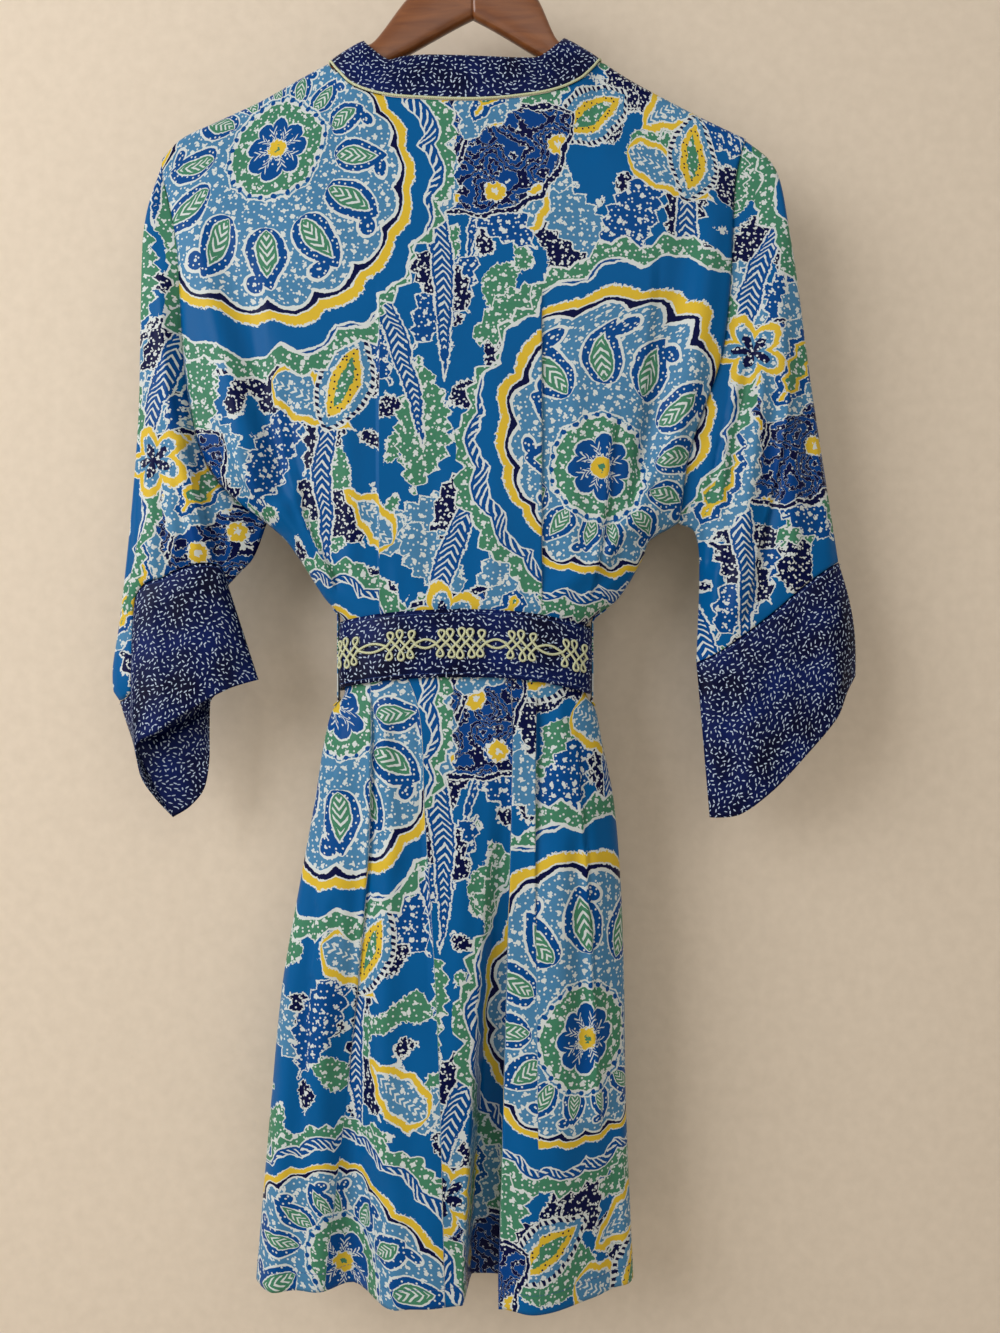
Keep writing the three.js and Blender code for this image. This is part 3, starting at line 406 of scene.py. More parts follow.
def back_depth(x, z, fine=True):
    drop = curve(TOP[0], TOP[1], x) - z
    start = np.maximum(curve(TOP[0], TOP[2], x), roll(drop))
    plain = hanging("back", x, z, start, drop)
    if not fine:
        return plain
    rise = fold_rise(BACK_FOLDS, x, z) * 1.35 + crease_rise(BACK_CREASES, x, z)
    # The tucks: cloth laid over from the middle, a step of one cloth at the stitching
    for name, way in (("left", -1), ("right", 1)):
        out = (x - line_at(name, z)) * way
        held = smooth((-330 - z) / 60) * np.where(z > PLEATS_FROM, 1, 0)
        rise = rise + held * laid_over(out, 1.0, 14, 1.6, 10)
    # Below the belt the left pleat dies away, and the right one opens in one deep fold
    out = line_at("left", z) - x
    rise = rise + let_out(z, 1020, 300) * laid_over(out, 1.6, 12, 5.5, 12)
    out = x - line_at("right", z)
    rise = rise + let_out(z, 880, 160) * laid_over(out, 1.6, 12, 5, 11)
    out = line_at("fold", z) - x
    let = smooth((-z - 690) / 440) ** 0.9 * np.where(z < PLEATS_FROM, 1, 0)
    inner = -42 * (1 - smooth((out - mix(2, 21, let)) / mix(16, 7, let)))
    outer = mix(0, 4, let) * np.exp(out / 16)
    rise = rise + let * np.where(out > -0.01, inner, outer)
    # A shallower pleat lies over towards the middle, left of the first one
    out = x - line_at("gather", z)
    rise = rise + let_out(z, 1010, 240) * laid_over(out, 2.6, 10, 3.6, 9)
    return plain + rise * fold_fade(x, z)


def steps(start, end, count):
    return np.linspace(start, end, count, endpoint=False)


def body_rows(count=26):
    """Heights of a panel's rows, as shares: the yoke's rows follow the shoulder, the rest are level."""
    yoke = np.linspace(0, 1, count) ** 1.25
    level = np.arange(YOKE - 4.4, HEM + 2.2, -4.4)
    return yoke, np.append(level, HEM)


def across_lengths(points, middle):
    """Length of cloth along each row, measured from its middle column."""
    runs = np.linalg.norm(np.diff(points, axis=1), axis=2)
    total = np.concatenate([np.zeros((len(points), 1)), np.cumsum(runs, axis=1)], axis=1)
    return total - total[:, middle:middle + 1]


def cloth(name, grid, chart, material, thick=0.5, ring=False, out=(0, -1, 0)):
    """A sheet of cloth from a grid of points, with its flat chart in metres as UV map."""
    rows, cols = grid.shape[:2]
    j, i = np.meshgrid(np.arange(rows - 1), np.arange(cols if ring else cols - 1), indexing="ij")
    right = (i + 1) % cols
    corners = np.stack([j * cols + i, j * cols + right, (j + 1) * cols + right, (j + 1) * cols + i], -1)
    charts = np.stack([chart[j, i], chart[j, i + 1 if ring else right],
                       chart[j + 1, i + 1 if ring else right], chart[j + 1, i]], -2)
    corners, charts = corners.reshape(-1, 4), charts.reshape(-1, 4, 2)
    flat_points = grid.reshape(-1, 3)
    a, b, d = (flat_points[corners[:, k]] for k in (0, 1, 3))
    normal = np.cross(b - a, d - a)
    if isinstance(out, str):
        away = (a + b) / 2 - np.repeat(grid[:-1].mean(axis=1), cols if ring else cols - 1, axis=0)
        turned = np.sum(normal * away) < 0
    else:
        turned = np.sum(normal @ np.array(out, float)) < 0
    if turned:
        corners, charts = corners[:, ::-1], charts[:, ::-1]
    piece = mesh_piece(name, flat_points, corners.tolist(), material)
    layer = piece.data.uv_layers.new(name="Cut")
    layer.data.foreach_set("uv", np.ascontiguousarray(charts, dtype=np.float32).ravel())
    wall = piece.modifiers.new("wall", "SOLIDIFY")
    wall.thickness = thick * 0.001
    wall.offset = -1
    return piece


class Reading:
    """A number that changes over the cloth: one node's output, which can be reckoned with."""

    def __init__(self, socket):
        self.socket = socket

    def __add__(self, other):
        return reckon("ADD", self, other)

    def __sub__(self, other):
        return reckon("SUBTRACT", self, other)

    def __rsub__(self, other):
        return reckon("SUBTRACT", other, self)

    def __mul__(self, other):
        return reckon("MULTIPLY", self, other)

    def __truediv__(self, other):
        return reckon("DIVIDE", self, other)

    def __lt__(self, other):
        return reckon("LESS_THAN", self, other)

    def __gt__(self, other):
        return reckon("GREATER_THAN", self, other)

    def __abs__(self):
        return reckon("ABSOLUTE", self)


def put(node, name, value):
    if isinstance(value, Reading):
        tree.links.new(value.socket, node.inputs[name])
    elif hasattr(value, "links"):
        tree.links.new(value, node.inputs[name])
    else:
        node.inputs[name].default_value = value


def reckon(kind, *values):
    node = tree.nodes.new("ShaderNodeMath")
    node.operation = kind
    for k, value in enumerate(values):
        put(node, k, value)
    return Reading(node.outputs[0])


def lay(ground, where, colour):
    """One colour, or one finished patch, laid over the ground where the reading is 1."""
    node = tree.nodes.new("ShaderNodeMix")
    node.data_type = "RGBA"
    put(node, 0, where)
    put(node, 6, ground)
    put(node, 7, colour)
    return node.outputs[2]


def split(spot):
    """The two coordinates of a place on the cloth's chart."""
    apart = tree.nodes.new("ShaderNodeSeparateXYZ")
    put(apart, 0, spot)
    return Reading(apart.outputs[0]), Reading(apart.outputs[1])


def local(spot, x, y, turn):
    """The chart as seen from one motif: along it and across it, in millimetres."""
    over, down = spot
    c, s = math.cos(math.radians(turn)), math.sin(math.radians(turn))
    along = reckon("MULTIPLY_ADD", over, c, reckon("MULTIPLY_ADD", down, s, -x * c - y * s))
    across = reckon("MULTIPLY_ADD", down, c, reckon("MULTIPLY_ADD", over, -s, x * s - y * c))
    return along, across


def cells(spot, size, shift=1.0):
    """Cells of one scattered seed each: the nearest seed's place and its own random number."""
    node = tree.nodes.new("ShaderNodeTexVoronoi")
    node.voronoi_dimensions = "2D"
    node.inputs["Scale"].default_value = 1 / size
    node.inputs["Randomness"].default_value = shift
    put(node, "Vector", spot)
    return node


def seeds(spot, size, long, wide, stray=0.8):
    """1 inside small grains that lie at random angles, one in each cell, in units of its size."""
    cell = cells(spot, size, stray)
    (x, y), (x_seed, y_seed) = split(spot), split(cell.outputs["Position"])
    x, y = x - x_seed, y - y_seed
    chance = tree.nodes.new("ShaderNodeSeparateColor")
    put(chance, 0, cell.outputs["Color"])
    angle = Reading(chance.outputs[0]) * (2 * math.pi)
    c, s = reckon("COSINE", angle), reckon("SINE", angle)
    along, across = (x * c + y * s) / long, (y * c - x * s) / wide
    return along * along + across * across < Reading(chance.outputs[1]) * 0.55 + 0.5


def noise(spot, size, detail=1.0):
    node = tree.nodes.new("ShaderNodeTexNoise")
    node.noise_dimensions = "2D"
    node.inputs["Scale"].default_value = 1 / size
    node.inputs["Detail"].default_value = detail
    put(node, "Vector", spot)
    return node


def together(x, y):
    node = tree.nodes.new("ShaderNodeCombineXYZ")
    put(node, 0, x)
    put(node, 1, y)
    return node.outputs[0]


def shaken(spot, field, far):
    """The chart moved here and there by up to so many millimetres, by the colours of a noise."""
    parts = tree.nodes.new("ShaderNodeSeparateColor")
    put(parts, 0, field.outputs["Color"])
    node = tree.nodes.new("ShaderNodeVectorMath")
    put(node, 0, spot)
    put(node, 1, together(Reading(parts.outputs[0]) * far, Reading(parts.outputs[1]) * far))
    return node.outputs[0]


AZURE, SKY, NAVY = linear(0, 86, 146), linear(70, 124, 164), linear(0, 8, 58)
ROYAL, GREEN, YELLOW = linear(0, 60, 128), linear(64, 124, 96), linear(208, 176, 52)
WHITE, DEEP = linear(202, 209, 208), linear(0, 68, 134)

print_satin, tree, shader = new_material("print satin")
chart = tree.nodes.new("ShaderNodeUVMap")
chart.uv_map = "Cut"
in_mm = tree.nodes.new("ShaderNodeVectorMath")
in_mm.operation = "SCALE"
in_mm.inputs["Scale"].default_value = 1000
put(in_mm, 0, chart.outputs["UV"])
# The hand of the drawing: every line wanders a little, and edges are slightly ragged
flat_chart = in_mm.outputs[0]
uneven = shaken(flat_chart, noise(flat_chart, 2.6, 0.5), 4.2)
drawn = shaken(flat_chart, noise(uneven, 34, 2), 9)
rag = (Reading(noise(uneven, 3.4, 1).outputs["Fac"]) - 0.5) * 3.2
grains = seeds(uneven, 6.0, 1.9, 1.0)
small_dots = Reading(cells(flat_chart, 5.4, 0.7).outputs["Distance"]) < 0.155
blossoms = Reading(cells(uneven, 9.6, 0.75).outputs["Distance"]) < 0.2
mingled = reckon("MAXIMUM", small_dots, blossoms)
sky_patch = lay(SKY, mingled, WHITE)
green_patch = lay(GREEN, mingled, WHITE)
navy_patch = lay(NAVY, reckon("MAXIMUM", small_dots, grains), WHITE)
azure_patch = lay(DEEP, mingled, WHITE)

# The repeat is two columns wide, and the second column stands a step lower than the first
COLUMN, REPEAT, STEP, FIRST_X, FIRST_Z = 307.0, 452.0, 263.0, -162.0, -221.0


def repeat(x, z):
    """The chart folded to one repeat, centred x, z from its large medallion, and its column."""
    over, down = split(drawn)
    over, down = over - (FIRST_X + x), down - (FIRST_Z + z)
    column = reckon("FLOOR", over / COLUMN + 0.5)
    over = over - column * COLUMN
    down = down + reckon("FLOORED_MODULO", column, 2.0) * STEP
    down = down - reckon("FLOOR", down / REPEAT + 0.5) * REPEAT
    return over, down, column


def leaf(spot, x, y, turn, length, half, bend=0.0, bite=0.0, tooth=6.0, round_foot=False):
    """How far outside a leaf's edge the cloth lies, across the leaf; below nought is inside."""
    t, s = local(spot, x, y, turn)
    if bend:
        s = reckon("MULTIPLY_ADD", t * t, -bend / length ** 2, s)
    share = t / length
    if round_foot:
        body_wide = reckon("SQRT", reckon("MAXIMUM", share, 0.0)) * (1.0 - share) * (2.6 * half)
        body_wide = reckon("MULTIPLY_ADD", reckon("MINIMUM", t, 0.0), 3.0, body_wide)
    else:
        body_wide = share * (1.0 - share) * (4 * half)
        if half < 12:
            body_wide = reckon("MULTIPLY_ADD", reckon("MINIMUM", share * (1.0 - share), 0.0), 60.0, body_wide)
    if bite:
        body_wide = reckon("MULTIPLY_ADD", reckon("PINGPONG", t, tooth), bite / tooth, body_wide)
    return abs(s) - body_wide + rag, t, s


def layers(ground, edge, *coats):
    for inset, colour in coats:
        ground = lay(ground, edge < inset, colour)
    return ground


def chevrons(t, s, size=6.0, share=0.34):
    return reckon("FRACT", (t + abs(s) * 1.1) / size) < share


def leaves(ground, spot, rows):
    """Serrated leaves of one ground each, ringed with a white line."""
    for fill, x, y, turn, length, half, bend, bite in rows:
        edge, t, s = leaf(spot, x, y, turn, length, half, bend, bite)
        ground = layers(ground, edge, (LINE, WHITE), (0.0, PATCHES[fill]))
    return ground


def stems(ground, spot, rows):
    """Long bent stems filled with white chevrons."""
    for x, y, turn, length, half, bend in rows:
        edge, t, s = leaf(spot, x, y, turn, length, half, bend)
        ground = layers(ground, edge, (LINE, WHITE), (0.0, DEEP), (-2.0, lay(DEEP, chevrons(t, s), WHITE)))
    return ground


base = lay(AZURE, 0.0, AZURE)

# Between the medallions: stems, leaves and pods, each ringed with a white line
over, down, column = repeat(0, REPEAT / 2)
gap = (over, down)
LINE = 1.6
# Ragged beds of dark leaf lie under the drawn leaves
bed = Reading(noise(uneven, 50, 0.8).outputs["Fac"])
base = layers(base, (0.6 - bed) * 90 + rag * 1.3, (LINE, WHITE), (0.0, navy_patch))
base = layers(base, (bed - 0.36) * 90 + rag * 1.3, (LINE, WHITE), (0.0, green_patch))
PATCHES = {"green": green_patch, "sky": sky_patch, "navy": navy_patch, "azure": azure_patch}
# kind, place, turn, length, half width, bend, bite of the teeth
GAP_LEAVES = [
    ("navy", -118, 44, 250, 64, 15, 10, 5), ("green", -128, 70, 300, 92, 17, -14, 6),
    ("azure", -92, 96, 205, 84, 15, 12, 5), ("green", 122, -52, 78, 96, 17, 16, 6),
    ("sky", 92, -104, 38, 84, 15, -12, 5), ("navy", 64, -96, 128, 66, 15, 9, 5),
    ("sky", -36, -58, 118, 92, 16, 20, 6), ("azure", -30, -70, 74, 96, 16, -16, 5),
    ("navy", 22, -38, 62, 74, 14, 16, 5), ("azure", 100, 34, 128, 92, 17, -18, 6),
    ("green", 30, 54, 52, 88, 17, 14, 6), ("navy", 8, 72, 118, 62, 14, -10, 5),
    ("sky", -60, 6, 160, 92, 16, 12, 5), ("green", -64, -86, 196, 80, 15, 14, 6),
]
base = leaves(base, gap, GAP_LEAVES)
base = stems(base, gap, ((-146, -60, 72, 250, 8, 60), (40, -130, 100, 230, 8, -64), (128, -20, 96, 190, 8, 52)))
# Pods: a yellow rim, a white line, and light blue inside with a row of chevrons
for x, y, turn, length, half, bend in ((-8, 34, -22, 74, 19, -10), (-104, -34, 70, 70, 18, 12),
                                       (76, 88, 196, 72, 19, 12), (104, -96, 150, 66, 17, -10)):
    edge, t, s = leaf(gap, x, y, turn, length, half, bend, 3.0, 9.0, True)
    inner = layers(sky_patch, abs(s) - 2.6, (0.0, lay(SKY, chevrons(t, s, 5.4, 0.4), WHITE)))
    base = layers(base, edge, (LINE, WHITE), (0.0, YELLOW), (-5.2, WHITE), (-6.8, inner))
# Eye-shaped pods with dotted navy rims
for x, y, turn, length, half in ((-76, 44, 28, 88, 24), (34, -8, 66, 84, 22)):
    edge, t, s = leaf(gap, x, y, turn, length, half)
    dots = reckon("FRACT", t / 5.0) < 0.5
    seed_bed = lay(YELLOW, small_dots, NAVY)
    base = layers(base, edge, (LINE, WHITE), (0.2, lay(NAVY, dots, WHITE)), (-3.6, sky_patch), (-9.6, WHITE),
                  (-11.0, seed_bed), (-17.0, green_patch))

# The strips between the columns: tall plumes, a jagged gold leaf and a bed of dark scrolls
over, down, column = repeat(COLUMN / 2, 6)
strip = (over, down)
whorl = noise(uneven, 26, 0.6)
rings = abs(reckon("FRACT", Reading(whorl.outputs["Fac"]) * 7.5) - 0.5)
scrolls = lay(lay(ROYAL, rings < 0.235, WHITE), rings < 0.205, NAVY)
scrolls = lay(scrolls, rings < 0.13, lay(NAVY, small_dots, WHITE))
bloom = Reading(cells(uneven, 46, 0.7).outputs["Distance"]) * 46 + rag * 1.3
scrolls = layers(scrolls, bloom, (9.0, WHITE), (7.5, YELLOW), (2.6, WHITE))
STRIP_LEAVES = [
    ("green", -66, -150, 92, 96, 17, 14, 6), ("azure", -30, -168, 64, 84, 15, -10, 5),
    ("navy", 10, -140, 128, 62, 14, 8, 5), ("sky", 66, 140, 232, 92, 16, 14, 5),
    ("green", 86, 96, 262, 90, 16, -16, 6), ("navy", 34, 176, 208, 64, 14, 10, 5),
    ("green", -88, 22, 40, 70, 15, 9, 6), ("azure", 62, -88, 140, 76, 15, -9, 5),
    ("sky", -40, 140, 300, 70, 15, 10, 6), ("sky", -74, 66, 330, 66, 14, 9, 5),
]
base = leaves(base, strip, STRIP_LEAVES)
for x, y, turn, length, half, bend, wave in ((-78, -40, 40, 170, 50, 18, 5), (96, 22, 214, 130, 38, 12, 4)):
    edge, t, s = leaf(strip, x, y, turn, length, half, bend, wave, 12.0)
    base = layers(base, edge, (LINE, WHITE), (0.0, lay(NAVY, small_dots, WHITE)), (-4.0, WHITE), (-5.0, scrolls))
base = stems(base, strip, ((-10, -196, 84, 236, 9, 66), (-26, 8, 86, 210, 9, -58)))
for x, y, turn, length, half, bend in ((-52, -92, 62, 112, 26, 12), (56, 100, 250, 108, 26, -12)):
    edge, t, s = leaf(strip, x, y, turn, length, half, bend, 5.0, 8.0)
    base = layers(base, edge, (LINE, WHITE), (0.0, sky_patch), (-12.0, WHITE), (-13.2, lay(DEEP, small_dots, WHITE)),
                  (-18.0, WHITE), (-19.0, YELLOW), (-22.0, green_patch))
# The gold leaf has five points round a dark star
gold_x, gold_y = local(strip, -6, 62, 20)
gold_far = reckon("SQRT", gold_x * gold_x + gold_y * gold_y)
gold_turn = reckon("ARCTAN2", gold_x, gold_y)
gold = gold_far - abs(reckon("COSINE", gold_turn * 2.5)) * 13 - 17 + rag * 1.4
star = lay(navy_patch, small_dots, WHITE)

# The medallion: a flower in a green ring, drops round it, and a scalloped navy and gold border.
# It hangs in one column and stands in the next.
RADIUS, SCALLOPS, DROPS, BEADS, PETALS = 90, 20, 13, 26, 8
over, down, column = repeat(0, 0)
facing = 1.0 - reckon("FLOORED_MODULO", column, 2.0) * 2
over, down = over * facing, down * facing
far = reckon("SQRT", over * over + down * down + 0.01)
turned = reckon("ARCTAN2", over, down)
lobe = 0.5 - down / far * 0.5
size = lobe * 0.58 + 0.8
reach = far / size
scallop = abs(reckon("SINE", turned * (SCALLOPS / 2)))
edge = reach - scallop * 7 - RADIUS + rag * 0.3
rim = reach - scallop * 4 - RADIUS + rag * 0.3
plume = reckon("MAXIMUM", reckon("SINE", turned + 0.9), 0.0)
other = reckon("MAXIMUM", reckon("SINE", turned - 2.2), 0.0)
teeth = reckon("PINGPONG", turned * 100, 6.0)
outer = edge - plume * 34 - other * 20 - teeth * 0.9
base = layers(base, outer, (23.0, WHITE), (21.4, green_patch))
outer = edge - plume * 22 - other * 8
stripes = chevrons(turned * 105, outer, 6.0, 0.36)
base = layers(base, outer, (23.0, WHITE), (21.4, DEEP), (19.4, lay(DEEP, stripes, WHITE)))
feather = reckon("MAXIMUM", reckon("SINE", turned * 2 + 0.4), 0.0)
outer = edge - feather * 11 - teeth * 0.3
base = layers(base, outer, (24.0, WHITE), (22.4, AZURE))
base = layers(base, gold, (LINE, WHITE), (0.0, YELLOW), (-6.5, WHITE), (-8.0, sky_patch), (-15.0, star))
base = layers(base, rim + rag * 0.8, (14.6, WHITE), (13.4, YELLOW))
base = layers(base, rim, (8.2, WHITE), (7.2, NAVY))
base = layers(base, edge, (2.4, WHITE), (0.2, sky_patch))

sector = turned * (DROPS / (2 * math.pi))
swing = (reckon("FRACT", sector) - 0.5) * (2 * math.pi * 68 / DROPS)
share = (87.0 - reach) / 38
hooked = swing - share * share * 4 + 3.0
inward = reckon("MAXIMUM", share, 0.0)
drop = abs(hooked) - reckon("SQRT", reckon("MAXIMUM", 1.0 - share, 0.0)) * inward * 32 + rag * 0.25
drop = drop + reckon("MAXIMUM", abs(share - 0.5) - 0.5, 0.0) * 90
curl = reckon("SQRT", (swing - 5) * (swing - 5) + (reach - 83) * (reach - 83)) - 4.4
shape = reckon("MINIMUM", drop, curl)
base = layers(base, shape, (2.1, WHITE), (0.4, lay(DEEP, small_dots, WHITE)))
base = layers(base, drop, (-4.6, WHITE), (-5.7, GREEN))
base = lay(base, curl < -3.5, WHITE)
vein = (drop < -7.4) * (reckon("FRACT", (reach + abs(hooked) * 1.2) / 5.0) < 0.4)
base = lay(base, vein, WHITE)
ring = far + abs(reckon("SINE", turned * 8)) * 2.0 + rag * 0.6
base = layers(base, ring, (46.5, WHITE), (45.0, sky_patch), (43.4, WHITE), (40.4, green_patch))
beads = reckon("FRACT", turned * (BEADS / (2 * math.pi)))
bead = reckon("SQRT", (beads - 0.5) * (beads - 0.5) * 102 + (far - 42) * (far - 42))
base = lay(base, bead < 2.1, DEEP)
petal = far - reckon("SQRT", abs(reckon("COSINE", turned * (PETALS / 2)))) * 7 - 19.5 + rag * 0.4
base = layers(base, petal, (2.0, WHITE), (0.4, DEEP), (-9.0, lay(DEEP, small_dots, WHITE)))
middle = abs(reckon("FRACT", turned * (PETALS / (2 * math.pi))) - 0.5)
barbs = (petal < -3.0) * (far > 9.0) * (reckon("FRACT", (far - middle * 24) / 4.6) < 0.4) * (middle < 0.24)
base = lay(base, barbs, WHITE)
base = layers(base, far + rag * 1.8, (9.0, WHITE), (7.8, YELLOW), (2.4, GREEN))

# Satin: a long smooth sheen, a fine weave, and dye that is a little uneven
cloudy = noise(in_mm.outputs[0], 60, 2)
shade = tree.nodes.new("ShaderNodeHueSaturation")
put(shade, "Color", base)
put(shade, "Value", Reading(cloudy.outputs["Fac"]) * 0.16 + 0.92)
join(tree, shade.outputs["Color"], shader.inputs["Base Color"])
weave = tree.nodes.new("ShaderNodeTexWave")
weave.wave_type = "BANDS"
weave.bands_direction = "DIAGONAL"
weave.inputs["Scale"].default_value = 0.42
weave.inputs["Distortion"].default_value = 1.5
put(weave, "Vector", in_mm.outputs[0])
fine = tree.nodes.new("ShaderNodeBump")
fine.inputs["Strength"].default_value = 0.12
fine.inputs["Distance"].default_value = 0.0002
put(fine, "Height", weave.outputs["Fac"])
join(tree, fine.outputs["Normal"], shader.inputs["Normal"])
worn = Reading(cloudy.outputs["Fac"]) * 0.16 + 0.3
join(tree, worn.socket, shader.inputs["Roughness"])
shader.inputs["Specular IOR Level"].default_value = 0.08

# Seed print: white grains scattered thickly on navy satin
seed_satin, tree, shader = new_material("seed satin")
chart = tree.nodes.new("ShaderNodeUVMap")
chart.uv_map = "Cut"
in_mm = tree.nodes.new("ShaderNodeVectorMath")
in_mm.operation = "SCALE"
in_mm.inputs["Scale"].default_value = 1000
put(in_mm, 0, chart.outputs["UV"])
# Painted shade: a soft noise mottles the navy ground darker and lighter, standing in for the shading of soft folds
cloudy = noise(in_mm.outputs[0], 38, 1.5)
mottled_shade = reckon("MULTIPLY_ADD", Reading(cloudy.outputs["Fac"]), 1.8, -0.52)
navy_ground = lay(linear(0, 3, 36), mottled_shade, linear(8, 28, 88))
scatter = seeds(in_mm.outputs[0], 4.2, 1.6, 0.54, 0.7)
seeded = lay(navy_ground, scatter, linear(176, 192, 214))
join(tree, seeded, shader.inputs["Base Color"])
join(tree, (Reading(cloudy.outputs["Fac"]) * 0.16 + 0.34).socket, shader.inputs["Roughness"])
shader.inputs["Specular IOR Level"].default_value = 0.09

# Columns of the back run with its tucks: shares between the lines, and which line each starts at
BACK_PARTS = (("edge_left", "gather", 24), ("gather", "left", 18), ("left", "fold", 34), ("fold", "right", 14),
              ("right", "edge_right", 40))


def back_line(name, z_left, z_right):
    if name == "edge_left":
        return body("left", z_left)
    if name == "edge_right":
        return body("right", z_right)
    return line_at(name, z_left)


yoke, level = body_rows()
z_left = np.concatenate([mix(TIPS["left"], YOKE, yoke), level])
z_right = np.concatenate([mix(TIPS["right"], YOKE, yoke), level])
columns = []
for start, end, count in BACK_PARTS:
    first, last = back_line(start, z_left, z_right), back_line(end, z_left, z_right)
    shares = steps(0, 1, count)
    if start == "edge_left":
        shares = shares ** 1.15
    if end == "edge_right":
        shares = 1 - (1 - shares) ** 1.15
    gap = 0.5 if start != "edge_left" else 0.0
    columns += [mix(first + gap, last, t) for t in shares]
    if end != "edge_right":
        columns.append(last)
columns.append(body("right", z_right))
x = np.stack(columns, axis=1)


def panel_heights(crown):
    """Heights of a panel's points: the yoke's rows follow the crown line, the rest are level."""
    return np.concatenate([mix(crown, YOKE, yoke[:, None]), np.repeat(level[:, None], crown.shape[1], axis=1)])


z = panel_heights(curve(TOP[0], TOP[1], x[:len(yoke)]))
depth = back_depth(x, z)
back_points = np.stack([x, -(np.maximum(depth, 0.4) + 0.2), z], axis=-1)
# The cloth is measured from a column left of the deep pleat, and again from the pleat's own edge
part_ends = np.cumsum([count + 1 for start, end, count in BACK_PARTS])
middle, turned_out = part_ends[1] + 14, part_ends[2]
back_run = across_lengths(back_points, middle)
runs = np.zeros_like(x)
for name, way, taken in (("left", -1, 13), ("right", 1, 32)):
    let = np.where(z > PLEATS_FROM, smooth((-335 - z) / 60), 0)
    runs += way * taken * let * np.where((x - line_at(name, z) - 0.25) * way > 0, 1, 0)
let = np.where(z < PLEATS_FROM, 1, 0)
runs -= 30 * let * np.where(x < line_at("left", z) + 0.25, 1, 0)
runs -= 14 * let * np.where(x < line_at("gather", z) + 0.25, 1, 0)
runs += 8 * let * np.where(x > line_at("right", z) + 0.25, 1, 0)
start = x[:, middle:middle + 1]
# Right of the deep pleat the grain runs straight down beside the pleat's edge
beside = x[:, turned_out:turned_out + 1] + 38 - start - back_run[:, turned_out:turned_out + 1]
runs += np.where(x > line_at("fold", z) + 0.25, beside * let, 0)
back_chart = np.stack([start + back_run + runs, z], axis=-1) * 0.001
back = cloth("back_cloth", back_points, back_chart, print_satin)
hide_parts("back")

# Machine stitches: a row of short threads sunk in the cloth, along any line laid on it
thread, tree, shader, grain = grained("sewing thread", "Noise", (20, 44, 110), (66, 96, 160), Scale=900)
shader.inputs["Roughness"].default_value = 0.6
shader.inputs["Specular IOR Level"].default_value = 0.3


def row_group(name, extra):
    """A Geometry Nodes group that works along curves, and the names of its own inputs."""
    group = bpy.data.node_groups.new(name, "GeometryNodeTree")
    for way in ("INPUT", "OUTPUT"):
        group.interface.new_socket("Geometry", in_out=way, socket_type="NodeSocketGeometry")
    inputs = {}
    for label, kind in extra:
        socket = group.interface.new_socket(label, in_out="INPUT", socket_type=f"NodeSocket{kind}")
        inputs[label] = socket.identifier
    return group, inputs


stitch_group, stitch_inputs = row_group("stitch row", (
    ("Pitch", "Float"), ("Stitch length", "Float"), ("Thread radius", "Float"), ("Thread", "Material")))
row_in, row_out = stitch_group.nodes.new("NodeGroupInput"), stitch_group.nodes.new("NodeGroupOutput")
places = stitch_group.nodes.new("GeometryNodeCurveToPoints")
places.mode = "LENGTH"
one = stitch_group.nodes.new("GeometryNodeMeshCylinder")
one.inputs["Vertices"].default_value = 5
lie = stitch_group.nodes.new("FunctionNodeAlignRotationToVector")
lie.axis = "Z"
sewn_row = stitch_group.nodes.new("GeometryNodeInstanceOnPoints")
real = stitch_group.nodes.new("GeometryNodeRealizeInstances")
threaded = stitch_group.nodes.new("GeometryNodeSetMaterial")
for start, end in (
        (row_in.outputs["Geometry"], places.inputs["Curve"]), (row_in.outputs["Pitch"], places.inputs["Length"]),
        (row_in.outputs["Stitch length"], one.inputs["Depth"]), (row_in.outputs["Thread radius"], one.inputs["Radius"]),
        (places.outputs["Tangent"], lie.inputs["Vector"]), (places.outputs["Points"], sewn_row.inputs["Points"]),
        (one.outputs["Mesh"], sewn_row.inputs["Instance"]), (lie.outputs["Rotation"], sewn_row.inputs["Rotation"]),
        (sewn_row.outputs["Instances"], real.inputs["Geometry"]),
        (real.outputs["Geometry"], threaded.inputs["Geometry"]),
        (row_in.outputs["Thread"], threaded.inputs["Material"]),
        (threaded.outputs["Geometry"], row_out.inputs["Geometry"])):
    stitch_group.links.new(start, end)


def along_rows(name, rows, group, inputs, values):
    """A piece that a Geometry Nodes group makes along rows of points."""
    lines = bpy.data.curves.new(name + "_line", "CURVE")
    lines.dimensions = "3D"
    for row in rows:
        spline = lines.splines.new("POLY")
        spline.points.add(len(row) - 1)
        for point, spot in zip(spline.points, row * 0.001):
            point.co = (*spot, 1)
    holder = new_object(name + "_line", lines)
    sewing = holder.modifiers.new("sewing", "NODES")
    sewing.node_group = group
    for label, value in values.items():
        sewing[inputs[label]] = value
    bpy.context.view_layer.update()
    mesh = bpy.data.meshes.new_from_object(holder.evaluated_get(bpy.context.evaluated_depsgraph_get()))
    mesh.name = name
    bpy.data.objects.remove(holder)
    return robe_piece(name, mesh)


def stitches(name, rows, pitch=3.0):
    """Rows of stitches along lines of points, as one piece."""
    return along_rows(name, rows, stitch_group, stitch_inputs, {
        "Pitch": pitch * 0.001, "Stitch length": pitch * 0.00074, "Thread radius": 0.0002, "Thread": thread})


def row_at(grid, share):
    """A line across a grid of points, at a share of the way between two of its rows."""
    first = int(share)
    return mix(grid[first], grid[first + 1], share - first)


hem_row = row_at(back_points, len(back_points) - 4.6)
breaks = np.flatnonzero(np.linalg.norm(np.diff(hem_row, axis=0), axis=1) > 8) + 1
stitches("hem_stitches_back", [run for run in np.split(hem_row, breaks) if len(run) > 3])

